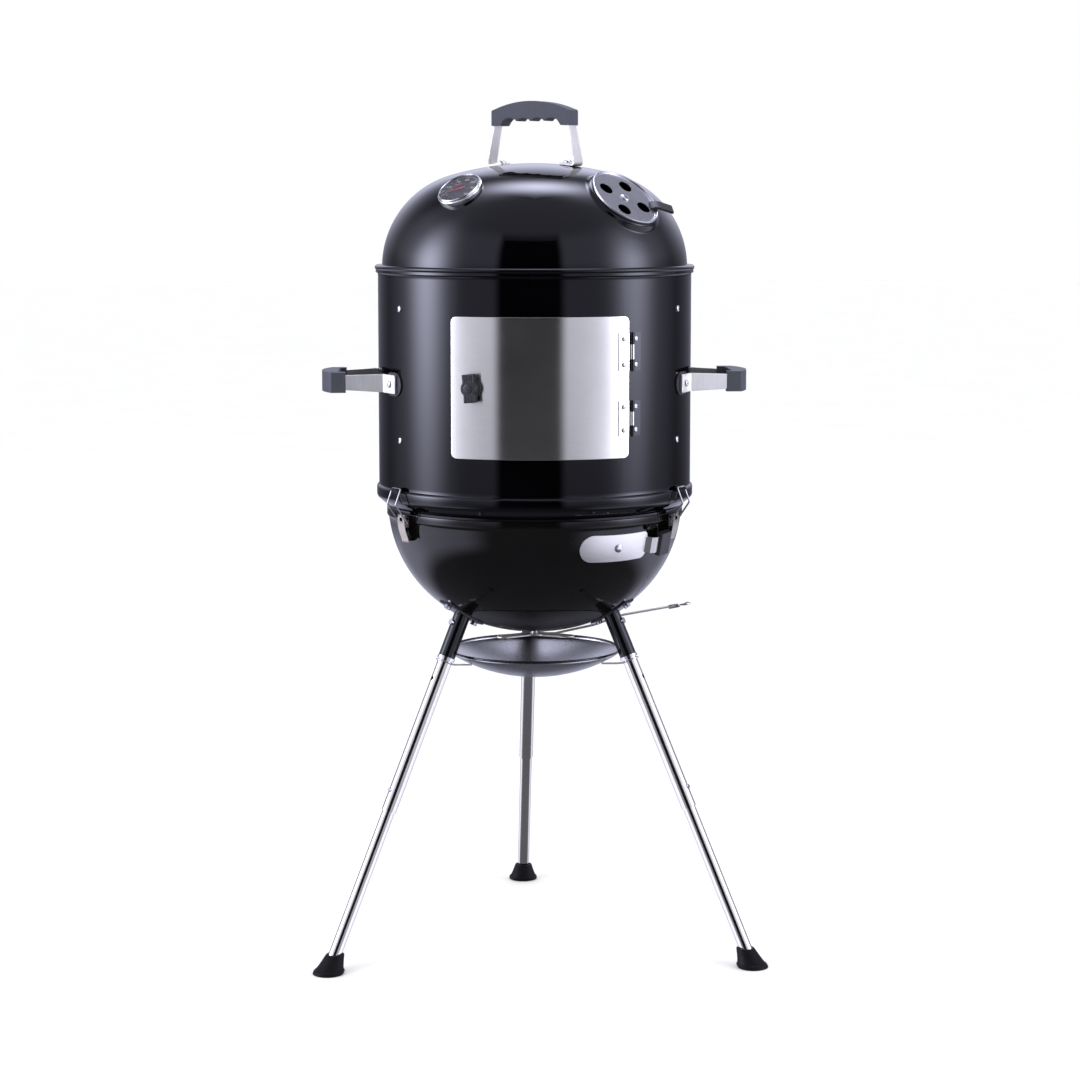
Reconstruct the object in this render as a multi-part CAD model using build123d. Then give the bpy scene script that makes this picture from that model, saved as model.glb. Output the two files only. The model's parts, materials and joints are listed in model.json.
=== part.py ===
from build123d import *
import os
from math import asin, atan2, cos, degrees, pi, radians, sin, sqrt, tan

# Upright charcoal water smoker on three telescoping legs, in millimetres.
# Origin: on the floor under the barrel's axis. +Z is up and the door faces -Y.

# Driving dimensions
barrel_r = 225.0
wall = 1.5
barrel_bottom_z = 646.0
barrel_top_z = 993.0
bead_r = 228.3
bead_low_z = 662.0
bead_high_z = 678.0
flange_r = 229.5
flange_low_z = 982.0
spigot_r = 209.0
spigot_low_z = 628.0
lid_seat_z = 974.0
lid_seat_r = 213.0

lid_r = 219.0
lid_knuckle_r = 136.2
lid_knuckle_z = 989.0
lid_crown_r = 434.5

bowl_r = 212.5
bowl_knuckle_r = 185.6
bowl_knuckle_z = 652.7
bowl_crown_r = 257.8
bowl_rim_z = 645.0
bowl_rim_r = 214.0
bowl_base_r = 95.0

leg_tilt = 24.5
leg_foot_circle_r = 349.0
leg_angles = {"left": 210.0, "right": 330.0, "rear": 90.0}
socket_tube_r = 12.0
upper_tube_r = 10.5
upper_tube_wall = 1.0
lower_tube_r = 9.0
lower_tube_wall = 1.0
leg_stroke = 170.0

door_az = (-33.65, 32.0)
door_z = (732.0, 927.0)
door_inner_r = 226.0
door_sheet = 1.2
door_hinge_az = 32.75
door_hinge_r = 229.5

grate_wire_r = 2.0
grate_spacing = 18.0


# Shared helpers

def along_leg(z):
    return z / cos(radians(leg_tilt))


def outward(az, r, z, elevation):
    """Plane at azimuth az from the front: local Z points outward, X to the right, Y up the slope."""
    a = radians(az)
    e = radians(elevation)
    origin = (r * sin(a), -r * cos(a), z)
    normal = (cos(e) * sin(a), -cos(e) * cos(a), sin(e))
    return Plane(origin=origin, x_dir=(cos(a), sin(a), 0), z_dir=normal)


def turned(shape, angle):
    return Rot(0, 0, angle) * shape


def revolved(points):
    return revolve(Plane.XZ * make_face(Polyline(*points, close=True)), axis=Axis.Z)


def plate_xz(points, y_low, y_high):
    """Flat plate with an outline in the XZ plane, between two Y values."""
    face = Plane.XZ * make_face(Polyline(*points, close=True))
    return Pos(0, y_high, 0) * extrude(face, y_high - y_low)


def rod(start, end, r):
    a = Vector(start)
    b = Vector(end)
    plane = Plane(origin=a, z_dir=b - a)
    bar = Cylinder(r, (b - a).length, align=(Align.CENTER, Align.CENTER, Align.MIN))
    return plane.location * bar


def bent_wire(points, r):
    """Round wire through the points, with a ball at each bend."""
    wire = rod(points[0], points[1], r)
    for corner, after in zip(points[1:-1], points[2:]):
        wire += Pos(*corner) * Sphere(r)
        wire += rod(corner, after, r)
    return wire


def post(r, low, high):
    return Pos(0, 0, low) * Cylinder(r, high - low, align=(Align.CENTER, Align.CENTER, Align.MIN))


def ring(inner, outer, low, high):
    return post(outer, low, high) - post(inner, low - 1, high + 1)


def dome(base_r, knuckle_r, knuckle_z, crown_r, end_z, up):
    """Solid round dome: straight wall from end_z, knuckle arc, then crown arc to the axis."""
    reach = crown_r - knuckle_r
    offset = base_r - knuckle_r
    crown_z = knuckle_z - up * sqrt(reach * reach - offset * offset)
    tilt = atan2(sqrt(reach * reach - offset * offset), offset)
    join = (crown_r * cos(tilt), crown_z + up * crown_r * sin(tilt))
    top = (0.0, crown_z + up * crown_r)
    half = tilt / 2
    knuckle_mid = (offset + knuckle_r * cos(half), knuckle_z + up * knuckle_r * sin(half))
    three_quarter = (tilt + pi / 2) / 2
    crown_mid = (crown_r * cos(three_quarter), crown_z + up * crown_r * sin(three_quarter))
    outline = [
        Line((0.0, end_z), (base_r, end_z)),
        Line((base_r, end_z), (base_r, knuckle_z)),
        ThreePointArc((base_r, knuckle_z), knuckle_mid, join),
        ThreePointArc(join, crown_mid, top),
        Line(top, (0.0, end_z)),
    ]
    return revolve(Plane.XZ * make_face(outline), axis=Axis.Z)


def wedge(az_low, az_high, r, z_low, z_high):
    """Sector prism between two azimuths from the front, out to a radius."""
    steps = 8
    points = [(0.0, 0.0)]
    for i in range(steps + 1):
        a = radians(az_low + (az_high - az_low) * i / steps)
        points.append((r * sin(a), -r * cos(a)))
    return Pos(0, 0, z_low) * extrude(make_face(Polyline(*points, close=True)), z_high - z_low)


def rounded_window(az_low, az_high, z_low, z_high, corner):
    """Radial prism with rounded corners, used to cut a curved sheet to shape."""
    mid = (az_low + az_high) / 2
    half = barrel_r * sin(radians((az_high - az_low) / 2))
    plane = outward(mid, 100.0, (z_low + z_high) / 2, 0.0)
    return plane.location * extrude(RectangleRounded(2 * half, z_high - z_low, corner), 200.0)


# Lid

damper_az = 43.0
damper_r = 175.2
damper_z = 1089.0
damper_elevation = 47.3
damper_pad_r = 55.0
damper_pad_h = -3.0
damper_disc_r = 52.5
damper_hole_r = 10.2
damper_pitch_r = 30.0
damper_hole_angle = 50.0
damper_gap = 0.25
damper_sheet = 1.2
damper_pin_r = 3.0
damper_plane = outward(damper_az, damper_r, damper_z, damper_elevation)

thermometer_az = -41.4
thermometer_r = 165.4
thermometer_z = 1097.3
thermometer_elevation = 52.7
bezel_r = 33.0
thermometer_plane = outward(thermometer_az, thermometer_r, thermometer_z, thermometer_elevation)

lid_outside = dome(lid_r, lid_knuckle_r, lid_knuckle_z, lid_crown_r, lid_seat_z + 0.2, 1)
lid_inside = dome(
    lid_r - wall, lid_knuckle_r - wall, lid_knuckle_z, lid_crown_r - wall, lid_seat_z - 5, 1
)
lid_bolt_r = 53.0


def damper_holes(low, high):
    holes = None
    for i in range(4):
        a = radians(damper_hole_angle + 90 * i)
        hole = Pos(damper_pitch_r * cos(a), damper_pitch_r * sin(a), 0) * post(damper_hole_r, low, high)
        holes = hole if holes is None else holes + hole
    return holes


def lid_handle_place():
    return Pos(0, 0, 1190.0) * Rot(0, 0, -30)


def lid_shell():
    place = damper_plane.location
    outer = lid_outside - place * post(damper_pad_r, damper_pad_h, 40)
    outer += place * post(damper_pad_r, damper_pad_h - 20, damper_pad_h)
    inner_top = damper_pad_h - wall
    inner = lid_inside - place * post(damper_pad_r + wall, inner_top, 40)
    inner += place * post(damper_pad_r - wall, damper_pad_h - 20, inner_top)
    shell = outer - inner
    shell -= place * damper_holes(-12, 5)
    shell -= place * post(damper_pin_r, -12, 5)
    shell -= thermometer_plane.location * post(3.2, -8, 8)
    for side in (-1, 1):
        shell -= Rot(0, 0, -30) * Pos(side * lid_bolt_r, 0, 1120) * post(3.0, 0, 30)
    return shell


# Handles: local X along the grip, local Z outward, zero at the bottom of the grip's ends

strap_thick = 3.0
grip_half = 62.0
grip_top = 34.6
grip_end_top = 21.0
grip_width = 29.0
strap_grip_x = 56.5
strap_bar_z = 15.0


def handle_strap_face(foot_points):
    left = [(-x, z) for x, z in foot_points]
    middle = [(-strap_grip_x, strap_bar_z), (strap_grip_x, strap_bar_z)]
    points = left + middle + list(reversed(foot_points))
    path = FilletPolyline(*points, radius=4.0)
    return trace(path, line_width=strap_thick)


def handle_strap(foot_points, width_grip, width_foot, z_foot):
    """Flat bar bent round the grip and down to two feet; its width grows towards the feet."""
    half = 40.0
    bar = extrude(Plane.XZ * handle_strap_face(foot_points), half, both=True)
    taper = [
        (-width_foot / 2, z_foot - 30), (width_foot / 2, z_foot - 30), (width_foot / 2, z_foot),
        (width_grip / 2, 0), (width_grip / 2, 30), (-width_grip / 2, 30),
        (-width_grip / 2, 0), (-width_foot / 2, z_foot),
    ]
    keep = extrude(Plane.YZ * make_face(Polyline(*taper, close=True)), 120, both=True)
    return bar & keep


def handle_grip_block():
    """Moulded grip: arched top, four finger hollows below, deep ends that take the strap."""
    outline = [
        Line((-grip_half, 0), (-grip_half, grip_end_top)),
        ThreePointArc((-grip_half, grip_end_top), (0, grip_top), (grip_half, grip_end_top)),
        Line((grip_half, grip_end_top), (grip_half, 0)),
        Line((grip_half, 0), (48, 0)),
        Line((48, 0), (44, 6)),
    ]
    hollow = 22.0
    x = 44.0
    for _ in range(4):
        outline.append(ThreePointArc((x, 6), (x - hollow / 2, 9.5), (x - hollow, 6)))
        x -= hollow
    outline += [Line((-44, 6), (-48, 0)), Line((-48, 0), (-grip_half, 0))]
    block = extrude(Plane.XZ * make_face(outline), grip_width / 2, both=True)
    long_edges = block.edges().filter_by(Axis.Y, reverse=True)
    top_edges = [e for e in long_edges if e.center().Z > grip_end_top]
    block = fillet(top_edges, 7.0)
    end_edges = [e for e in block.edges().filter_by(Axis.Y) if e.center().Z > grip_end_top - 3]
    return fillet(end_edges, 5.0)


lid_foot_in = (46.0, 1136.4 - 1190.0)
lid_foot_out = (70.0, 1133.1 - 1190.0)


def lid_handle_strap():
    strap = handle_strap([lid_foot_in, lid_foot_out], 21.0, 27.0, lid_foot_out[1] + 6)
    for side in (-1, 1):
        strap -= Pos(side * lid_bolt_r, 0, -70) * post(3.0, 0, 30)
    return strap


def lid_handle_bolt(side):
    """Round-head bolt through the strap's foot and the lid, with its nut inside."""
    head_z = 1138.1
    bolt = post(3.0, 1126.5, head_z + 0.5) + post(6.0, head_z, head_z + 3.2)
    bolt += Pos(0, 0, 1127.0) * extrude(RegularPolygon(5.5, 6), 4.5)
    return Rot(0, 0, -30) * Pos(side * lid_bolt_r, 0, 0) * bolt


def damper_disc():
    low = damper_pad_h + damper_gap
    disc = post(damper_disc_r, low, low + damper_sheet)
    disc += ring(damper_disc_r - 2.5, damper_disc_r, low, low + 4.2)
    disc -= damper_holes(-12, 5)
    disc -= post(damper_pin_r + 0.06, -12, 5)
    return disc


damper_tab_angle = -24.0


def damper_tab():
    low = damper_pad_h + damper_gap + damper_sheet
    outline = [
        (41, low), (49.4, low), (49.4, low + 3.6), (76, low + 3.6),
        (77, low + 5), (76, low + 8), (54, low + 8), (46, low + 6), (41, low + 2),
    ]
    return Rot(0, 0, damper_tab_angle) * plate_xz(outline, -7.5, 7.5)


def damper_rivet():
    low = damper_pad_h + damper_gap + damper_sheet + 0.3
    rivet = post(damper_pin_r, damper_pad_h - 4, low)
    rivet += post(6.5, low, low + 2.4)
    rivet += post(6.0, damper_pad_h - wall - 2.0, damper_pad_h - wall)
    return rivet


def thermometer_case():
    """Chrome case seated on the lid, with a probe through it and a nut inside."""
    shell = post(bezel_r, -8, 7.0) - post(31.0, 2.0, 5.8) - post(29.5, 5, 8) - post(31.0, -9, 1.0)
    shell -= thermometer_plane.location.inverse() * lid_outside
    probe = post(3.2, -9, 1.5) + post(2.5, -70, -8)
    nut = Pos(0, 0, -6.2) * extrude(RegularPolygon(8.0, 6), 4.5)
    return shell + probe + nut


def thermometer_dial():
    return post(31.0, 2.0, 2.6) + post(0.8, 2.6, 4.4)


def thermometer_glass():
    return post(31.0, 4.9, 5.8)


def thermometer_needle():
    """Balanced pointer on the dial's pivot, aimed at the low end of the scale."""
    pointer = [(-24, 0), (-3, 1.6), (3, 1.8), (9, 1.8), (9, -1.8), (3, -1.8), (-3, -1.6)]
    blade = Pos(0, 0, 3.1) * extrude(make_face(Polyline(*pointer, close=True)), 0.6)
    return Rot(0, 0, 30) * (blade + post(3.0, 3.1, 4.2)) - post(0.86, 0, 8)


# Barrel

shelf_zs = (712.0, 775.0, 946.0)
shelf_thick = 2.0
hinge_spans = ((852.0, 904.5), (762.0, 811.0))
strap_screw_z = (934.0, 750.0)
strap_azimuths = (-60.0, 60.0, 180.0)
barrel_hinge_screw_az = 34.9
door_hinge_screw_az = 29.45
hinge_screw_inset = 8.5
latch_angles = leg_angles


side_handle_z = 828.0
side_grip_r = 271.5
side_foot_azimuths = (61.5, 71.0)
side_pad_azimuths = (64.5, 115.5, -64.5, -115.5)
side_screw_azimuths = (65.5, 114.5, -65.5, -114.5)
pad_thick = 2.0


def hinge_screw_heights():
    return [z for low, high in hinge_spans for z in (low + hinge_screw_inset, high - hinge_screw_inset)]


def barrel_outline(inset):
    """Half section of the barrel's sheet, moved inwards by inset."""
    bottom = spigot_low_z if inset == 0 else spigot_low_z - 5
    top = barrel_top_z if inset == 0 else barrel_top_z + 5
    return [
        (0, bottom), (spigot_r - inset, bottom), (spigot_r - inset, barrel_bottom_z + inset / 2),
        (barrel_r + 1 - inset, bead_low_z + inset / 2), (bead_r - inset, bead_low_z + 2.5),
        (bead_r - inset, bead_high_z - 2.5), (barrel_r - inset, bead_high_z),
        (barrel_r - inset, top), (0, top),
    ]


def barrel_shell():
    shell = revolved(barrel_outline(0)) - revolved(barrel_outline(wall))
    flange = ring(barrel_r - wall, flange_r, flange_low_z, barrel_top_z)
    shell += fillet(outer_rims(flange, barrel_r), 2.0)
    shell += ring(lid_seat_r, barrel_r - 0.5, lid_seat_z - wall, lid_seat_z)
    shell += ring(spigot_r - 1, bowl_r - 0.4, bowl_rim_z + 0.2, bowl_rim_z + 1.7)
    shell -= rounded_window(door_az[0] + 1.6, door_az[1] - 1.8, door_z[0] + 6, door_z[1] - 6, 6.0)
    for az in strap_azimuths:
        for z in strap_screw_z:
            shell -= outward(az, 200, z, 0).location * post(2.5, 0, 40)
    for az in side_screw_azimuths:
        shell -= outward(az, 200, side_handle_z, 0).location * post(2.5, 0, 40)
    for z in hinge_screw_heights():
        shell -= outward(barrel_hinge_screw_az, 200, z, 0).location * post(1.8, 0, 40)
    return shell


def outer_rims(solid, r):
    """The circular edges of a turned solid that lie outside radius r."""
    return [e for e in solid.edges().filter_by(GeomType.CIRCLE) if e.radius > r]


def small_screw(shank_low, seat, shank_r=2.5, head_r=4.5, head_h=2.2):
    """Round-head screw; local Z is its axis, seat is the height where the head begins."""
    screw = post(shank_r, shank_low, seat + 0.5)
    head = post(head_r, seat, seat + head_h)
    return screw + fillet(head.edges().sort_by(Axis.Z)[-1:], 1.2)


def barrel_screws():
    """Screws that hold the inner straps and the barrel's hinge leaves."""
    screws = []
    for az in strap_azimuths:
        for z in strap_screw_z:
            screws.append(outward(az, 0, z, 0).location * small_screw(barrel_r - 5, barrel_r + 0.02))
    for z in hinge_screw_heights():
        place = outward(barrel_hinge_screw_az, 0, z, 0).location
        screws.append(place * small_screw(barrel_r - 4, barrel_r + 1.25, 1.8, 3.6, 1.8))
    return screws


def grate_strap(az):
    """Vertical strap inside the barrel with three inward shelves for the grates and the pan."""
    face_r = barrel_r - wall - 0.8
    standing = (Align.CENTER, Align.CENTER, Align.MIN)
    length = shelf_zs[2] + shelf_thick - shelf_zs[0]
    strap = Pos(face_r - 1.0, 0, shelf_zs[0]) * Box(2, 24, length, align=standing)
    for z in shelf_zs:
        strap += Pos(face_r - 11, 0, z) * Box(22, 24, shelf_thick, align=standing)
    for z in strap_screw_z:
        strap -= rod((190, 0, z), (240, 0, z), 2.5)
    return turned(strap, az - 90)


def cooking_grate(ring_r, z):
    """Round grate of parallel wires on a ring, with two cross wires below."""
    ring_half = 3.0
    wires = Circle(ring_r + ring_half) - Circle(ring_r - ring_half)
    count = int(ring_r / grate_spacing)
    for i in range(-count, count + 1):
        x = i * grate_spacing
        half = sqrt(ring_r * ring_r - x * x)
        if half > 30:
            wires += Pos(x, 0) * Rectangle(2 * grate_wire_r, 2 * half)
    length = 2 * sqrt(0.75) * ring_r - 44
    cross = Pos(0, ring_r / 2) * Rectangle(length, 5) + Pos(0, -ring_r / 2) * Rectangle(length, 5)
    grate = Pos(0, 0, z - grate_wire_r) * extrude(wires, 2 * grate_wire_r)
    return grate + Pos(0, 0, z - 5) * extrude(cross, 5)


def water_pan():
    """Pressed pan that hangs by its flange on the lowest shelves."""
    sheet = 1.2
    flange = shelf_zs[0] + shelf_thick + 0.02
    low = flange - 75
    outline = [
        (0, low), (150, low), (184, flange), (206, flange), (206, flange + sheet),
        (183, flange + sheet), (149, low + sheet), (0, low + sheet),
    ]
    return revolved(outline)


# Side handles: the same strap and grip as on the lid, turned to point outwards

def side_handle_place(side):
    if side > 0:
        plane = Plane(origin=(side_grip_r, 0, side_handle_z), x_dir=(0, 1, 0), z_dir=(1, 0, 0))
    else:
        plane = Plane(origin=(-side_grip_r, 0, side_handle_z), x_dir=(0, -1, 0), z_dir=(-1, 0, 0))
    return plane.location


def side_foot_point(az):
    r = barrel_r + pad_thick + strap_thick / 2 + 0.4
    return (r * cos(radians(az)), r * sin(radians(az)) - side_grip_r)


def side_handle_strap():
    low = side_foot_azimuths[0]
    high = side_foot_azimuths[1]
    feet = [side_foot_point(low), side_foot_point((low + high) / 2), side_foot_point(high)]
    strap = handle_strap(feet, 20.0, 26.0, feet[2][1])
    for side in (-1, 1):
        a = radians(side_screw_azimuths[0])
        direction = Vector(side * cos(a), 0, sin(a))
        start = Vector(0, 0, -side_grip_r)
        strap -= rod(start + direction * 200, start + direction * 245, 2.5)
    return strap


def side_handle_pad(az):
    """Heat-proof oval pad between the strap's foot and the barrel."""
    pad = outward(az, 0, side_handle_z, 0).location * extrude(SlotOverall(46, 33), barrel_r + 12)
    pad = pad & ring(barrel_r + 0.02, barrel_r + pad_thick, side_handle_z - 40, side_handle_z + 40)
    for screw_az in side_screw_azimuths:
        pad -= outward(screw_az, 200, side_handle_z, 0).location * post(2.5, 0, 50)
    return pad


def side_handle_screw(az):
    return outward(az, 0, side_handle_z, 0).location * small_screw(
        barrel_r - 5, barrel_r + pad_thick + strap_thick + 0.6, 2.5, 5.0, 2.6
    )


# Door

hinge_knuckle_r = 3.0
hinge_pin_r = 1.5
hinge_end_share = 0.3


def hinge_axis_xy():
    a = radians(door_hinge_az)
    return door_hinge_r * sin(a), -door_hinge_r * cos(a)


def barrel_hinge_leaf(low, high):
    """Leaf on the barrel with the two end knuckles and the pin."""
    x, y = hinge_axis_xy()
    end = (high - low) * hinge_end_share
    leaf = ring(barrel_r + 0.02, barrel_r + 1.2, low, high)
    leaf = leaf & wedge(door_hinge_az + 0.05, 37.2, 260, low, high)
    for z in (low, high - end):
        leaf += Pos(x, y, 0) * post(hinge_knuckle_r, z, z + end)
        web = ring(barrel_r + 0.3, door_hinge_r, z, z + end)
        leaf += web & wedge(door_hinge_az + 0.05, door_hinge_az + 0.72, 260, z, z + end)
    leaf += Pos(x, y, 0) * post(hinge_pin_r, low - 1, high + 1)
    for z in (low + hinge_screw_inset, high - hinge_screw_inset):
        leaf -= outward(barrel_hinge_screw_az, 200, z, 0).location * post(1.8, 0, 60)
    return leaf


def door_hinge_leaf(low, high):
    """Leaf on the door with the middle knuckle."""
    x, y = hinge_axis_xy()
    end = (high - low) * hinge_end_share + 0.4
    face_r = door_inner_r + door_sheet
    leaf = ring(face_r + 0.02, face_r + 1.2, low, high) & wedge(27.4, 31.7, 260, low, high)
    bridge = ring(face_r + 0.02, face_r + 1.2, low + end, high - end)
    leaf += bridge & wedge(31.0, door_hinge_az, 260, low, high)
    leaf += Pos(x, y, 0) * post(hinge_knuckle_r, low + end, high - end)
    leaf -= Pos(x, y, 0) * post(hinge_pin_r + 0.06, low - 2, high + 2)
    for z in (low + hinge_screw_inset, high - hinge_screw_inset):
        leaf -= outward(door_hinge_screw_az, 200, z, 0).location * post(1.8, 0, 60)
    return leaf


def door_hinge_screws():
    screws = []
    seat = door_inner_r + door_sheet + 1.25
    for z in hinge_screw_heights():
        place = outward(door_hinge_screw_az, 0, z, 0).location
        screws.append(place * small_screw(seat - 4, seat, 1.8, 3.6, 1.8))
    return screws


knob_az = -24.9
knob_z = 830.0
knob_pin_r = 4.0


def door_panel():
    sheet = ring(door_inner_r, door_inner_r + door_sheet, door_z[0], door_z[1])
    panel = sheet & rounded_window(door_az[0], door_az[1], door_z[0], door_z[1], 7.5)
    panel -= outward(knob_az, 200, knob_z, 0).location * post(knob_pin_r + 0.06, 0, 60)
    for z in hinge_screw_heights():
        panel -= outward(door_hinge_screw_az, 200, z, 0).location * post(1.8, 0, 60)
    return panel


def door_knob():
    """Round boss with a tall bar across it, bored for the spindle."""
    seat = door_inner_r + door_sheet + 0.9
    boss = post(13.5, seat, seat + 5)
    bar = Pos(0, 0, seat + 4) * extrude(RectangleRounded(18, 39, 4), 13)
    bar = fillet(bar.faces().sort_by(Axis.Z)[-1].edges(), 2.5)
    return boss + bar - post(knob_pin_r, seat - 1, seat + 9)


def door_tongue():
    """Spindle through the door with the inner tongue, in line with the knob's bar."""
    seat = door_inner_r + door_sheet + 0.9
    spindle = post(knob_pin_r, 216, seat + 9)
    tongue = Pos(0, 8, 215) * Box(10, 36, 2.5, align=(Align.CENTER, Align.CENTER, Align.MIN))
    return spindle + tongue


# Bowl

vent_az = 31.2
vent_r = 206.0
vent_z = 604.1
vent_elevation = -15.2
vent_plane = outward(vent_az, vent_r, vent_z, vent_elevation)
vent_cap_r = 215.5
vent_sheet = 1.2
vent_gap = 0.4
vent_half_height = 20.0
vent_left = -60.0
vent_right = 53.0
vent_pin_r = 2.5
vent_slot_x = 39.0
vent_slot_y = 11.0
vent_slot_size = (24.0, 12.0)
ash_slot_r = 38.0
ash_slot_size = (46.0, 18.0)

bowl_outside = dome(bowl_r, bowl_knuckle_r, bowl_knuckle_z, bowl_crown_r, bowl_rim_z, -1)
bowl_cap = post(bowl_r + 20, bowl_rim_z, bowl_rim_z + 30)
sweeper_shaft_r = 5.0


def bowl_rim():
    bead = ring(bowl_r - wall, bowl_rim_r, 634.0, bowl_rim_z)
    return fillet(outer_rims(bead, bowl_r), 1.2)


def bowl_shell():
    inner = dome(
        bowl_r - wall, bowl_knuckle_r - wall, bowl_knuckle_z, bowl_crown_r - wall, bowl_rim_z + 5, -1
    )
    shell = bowl_outside - inner - bowl_cap + bowl_rim()
    place = vent_plane.location
    for side in (-1, 1):
        slot = extrude(SlotOverall(*vent_slot_size), 25)
        shell -= place * Pos(side * vent_slot_x, side * vent_slot_y, -20) * slot
    shell -= place * post(vent_pin_r, -20, 5)
    shell += place * Pos(50, 24, 0) * post(3.0, -7.5, -2.5)
    shell -= post(sweeper_shaft_r + 0.06, 440, 480)
    for i in range(3):
        slot = extrude(SlotOverall(*ash_slot_size), 50)
        shell -= Rot(0, 0, 30 + 120 * i) * Pos(ash_slot_r, 0, 440) * slot
    for angle in leg_angles.values():
        for r in bracket_bolt_rs:
            shell -= bracket_bolt(angle, r, -8, 8, 3.0, 1.0)
    return shell


def vent_outline():
    """Oblong plate: round left end, right end with small corners."""
    h = vent_half_height
    corner = 9.0
    mid = vent_left + h
    flat = vent_right - corner
    outline = [
        Line((mid, h), (flat, h)),
        ThreePointArc((flat, h), (flat + corner * sin(pi / 4), h - corner * (1 - cos(pi / 4))),
                      (vent_right, h - corner)),
        Line((vent_right, h - corner), (vent_right, corner - h)),
        ThreePointArc((vent_right, corner - h),
                      (flat + corner * sin(pi / 4), corner * (1 - cos(pi / 4)) - h), (flat, -h)),
        Line((flat, -h), (mid, -h)),
        ThreePointArc((mid, -h), (vent_left, 0), (mid, h)),
    ]
    return make_face(outline)


def vent_plate():
    """Sheet plate pressed to a sphere round its rivet, with a cranked tab for the grip."""
    centre = vent_gap - vent_cap_r
    cap = Pos(0, 0, centre) * (Sphere(vent_cap_r + vent_sheet) - Sphere(vent_cap_r))
    plate = cap & Pos(0, 0, -60) * extrude(vent_outline(), 90)
    tab = Plane.XZ * trace(Polyline((50, -5.2), (57, 0.5), (64, 1.5), (80, -4.0)), line_width=1.4)
    plate += extrude(tab, 11.5, both=True)
    return plate - post(vent_pin_r + 0.06, -20, 10)


def vent_grip():
    block = Box(25, 33, 9)
    block = fillet(block.edges().filter_by(Axis.Y), 2.5)
    block = Pos(82, 0, -4.6) * Rot(0, 19, 0) * block
    return block - vent_plate()


def vent_rivet():
    seat = vent_gap + vent_sheet + 0.3
    rivet = post(vent_pin_r, -4, seat)
    rivet += post(5.5, -wall - 2, -wall - 0.15)
    head = post(6.0, seat, seat + 2.4)
    return rivet + fillet(head.edges().sort_by(Axis.Z)[-1:], 1.4)


# Sweeper under and inside the bowl

def sweeper_blades():
    """Three curved blades above the ash slots, on one shaft through the bowl."""
    centre_z = bowl_knuckle_z + sqrt(
        (bowl_crown_r - bowl_knuckle_r) ** 2 - (bowl_r - bowl_knuckle_r) ** 2
    )
    layer = Sphere(bowl_crown_r - wall - 1.0) - Sphere(bowl_crown_r - wall - 3.5)
    layer = Pos(0, 0, centre_z) * layer
    arms = post(12, 460, 480)
    for i in range(3):
        arms += Rot(0, 0, 90 + 120 * i) * Pos(36, 0, 470) * Box(76, 16, 40)
    return (layer & arms) + post(sweeper_shaft_r, 453, 466)


lever_points = ((12, 456.0), (30, 456.0), (85, 467.5), (130, 482.5), (206, 495.5))


def sweeper_lever():
    """Flat arm from the hub plate under the bowl out to the grip."""
    lower = [(x, z - 1.0) for x, z in lever_points]
    upper = [(x, z + 1.0) for x, z in reversed(lever_points)]
    hub = post(16, 455, 457)
    for i in range(3):
        hub += Pos(0, 0, 455) * Rot(0, 0, 90 + 120 * i) * extrude(Pos(35, 0) * SlotOverall(56, 22), 2)
    hub += plate_xz(lower + upper, -4.5, 4.5)
    return hub - post(sweeper_shaft_r, 450, 460)


def sweeper_grip():
    """Dark sleeve on the arm's end with a round wire loop for hanging a hook."""
    tip_x, tip_z = lever_points[-1]
    start = Vector(tip_x - 14, 0, tip_z - 2.4)
    end = Vector(tip_x + 9, 0, tip_z + 1.5)
    sleeve = rod(start, end, 5.2)
    place = Plane(origin=end + Vector(6.0, 0, 1.0), z_dir=(-0.17, 0, 1)).location
    return (sleeve + place * Torus(7.0, 1.4)) - sweeper_lever()


def charcoal_grate():
    return cooking_grate(177.0, 566.0)


# Stand

def leg_plane(angle):
    """Plane on the floor at a leg's foot; local Z runs up the leg, X points outwards and up."""
    a = radians(angle)
    t = radians(leg_tilt)
    origin = (leg_foot_circle_r * cos(a), leg_foot_circle_r * sin(a), 0)
    up = (-sin(t) * cos(a), -sin(t) * sin(a), cos(t))
    return Plane(origin=origin, x_dir=(cos(t) * cos(a), cos(t) * sin(a), sin(t)), z_dir=up)


socket_span = (along_leg(435.0), along_leg(502.0))
upper_span = (along_leg(222.0), along_leg(492.0))
lower_span = (along_leg(9.0), upper_span[0] + 105.0)
button_s = along_leg(248.0)
button_r = 3.0
bracket_rs = (98.0, 152.0)
bracket_sheet = 2.5
bracket_bolt_rs = (103.5, 146.0)


def bracket_bolt(angle, r, low, high, head_r, head_h):
    """Bolt square to the bowl, from low to high along the outward normal, head outermost."""
    drop = asin((r - bowl_r + bowl_knuckle_r) / bowl_knuckle_r)
    z = bowl_knuckle_z - bowl_knuckle_r * cos(drop)
    plane = outward(angle + 90, r, z, degrees(drop) - 90)
    return plane.location * (post(3.0, low, high) + post(head_r, high - head_h, high))


def leg_socket(angle):
    """Pressed bracket that follows the bowl, with the tube that takes the upper leg."""
    outer = dome(bowl_r + bracket_sheet, bowl_knuckle_r + bracket_sheet, bowl_knuckle_z,
                 bowl_crown_r + bracket_sheet, bowl_rim_z, -1)
    strip = (outer - bowl_outside) & Rot(0, 0, angle) * Pos(125, 0, 500) * Box(
        bracket_rs[1] - bracket_rs[0], 30, 60
    )
    place = leg_plane(angle).location
    tube = place * post(socket_tube_r, *socket_span)
    socket = strip + (tube - bowl_outside)
    socket -= place * post(upper_tube_r, socket_span[0] - 1, upper_span[1])
    for r in bracket_bolt_rs:
        socket -= bracket_bolt(angle, r, -8, 8, 3.0, 1.0)
    return socket - place * rod((0, 0, along_leg(480)), (30, 0, along_leg(480)), 2.5)


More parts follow.
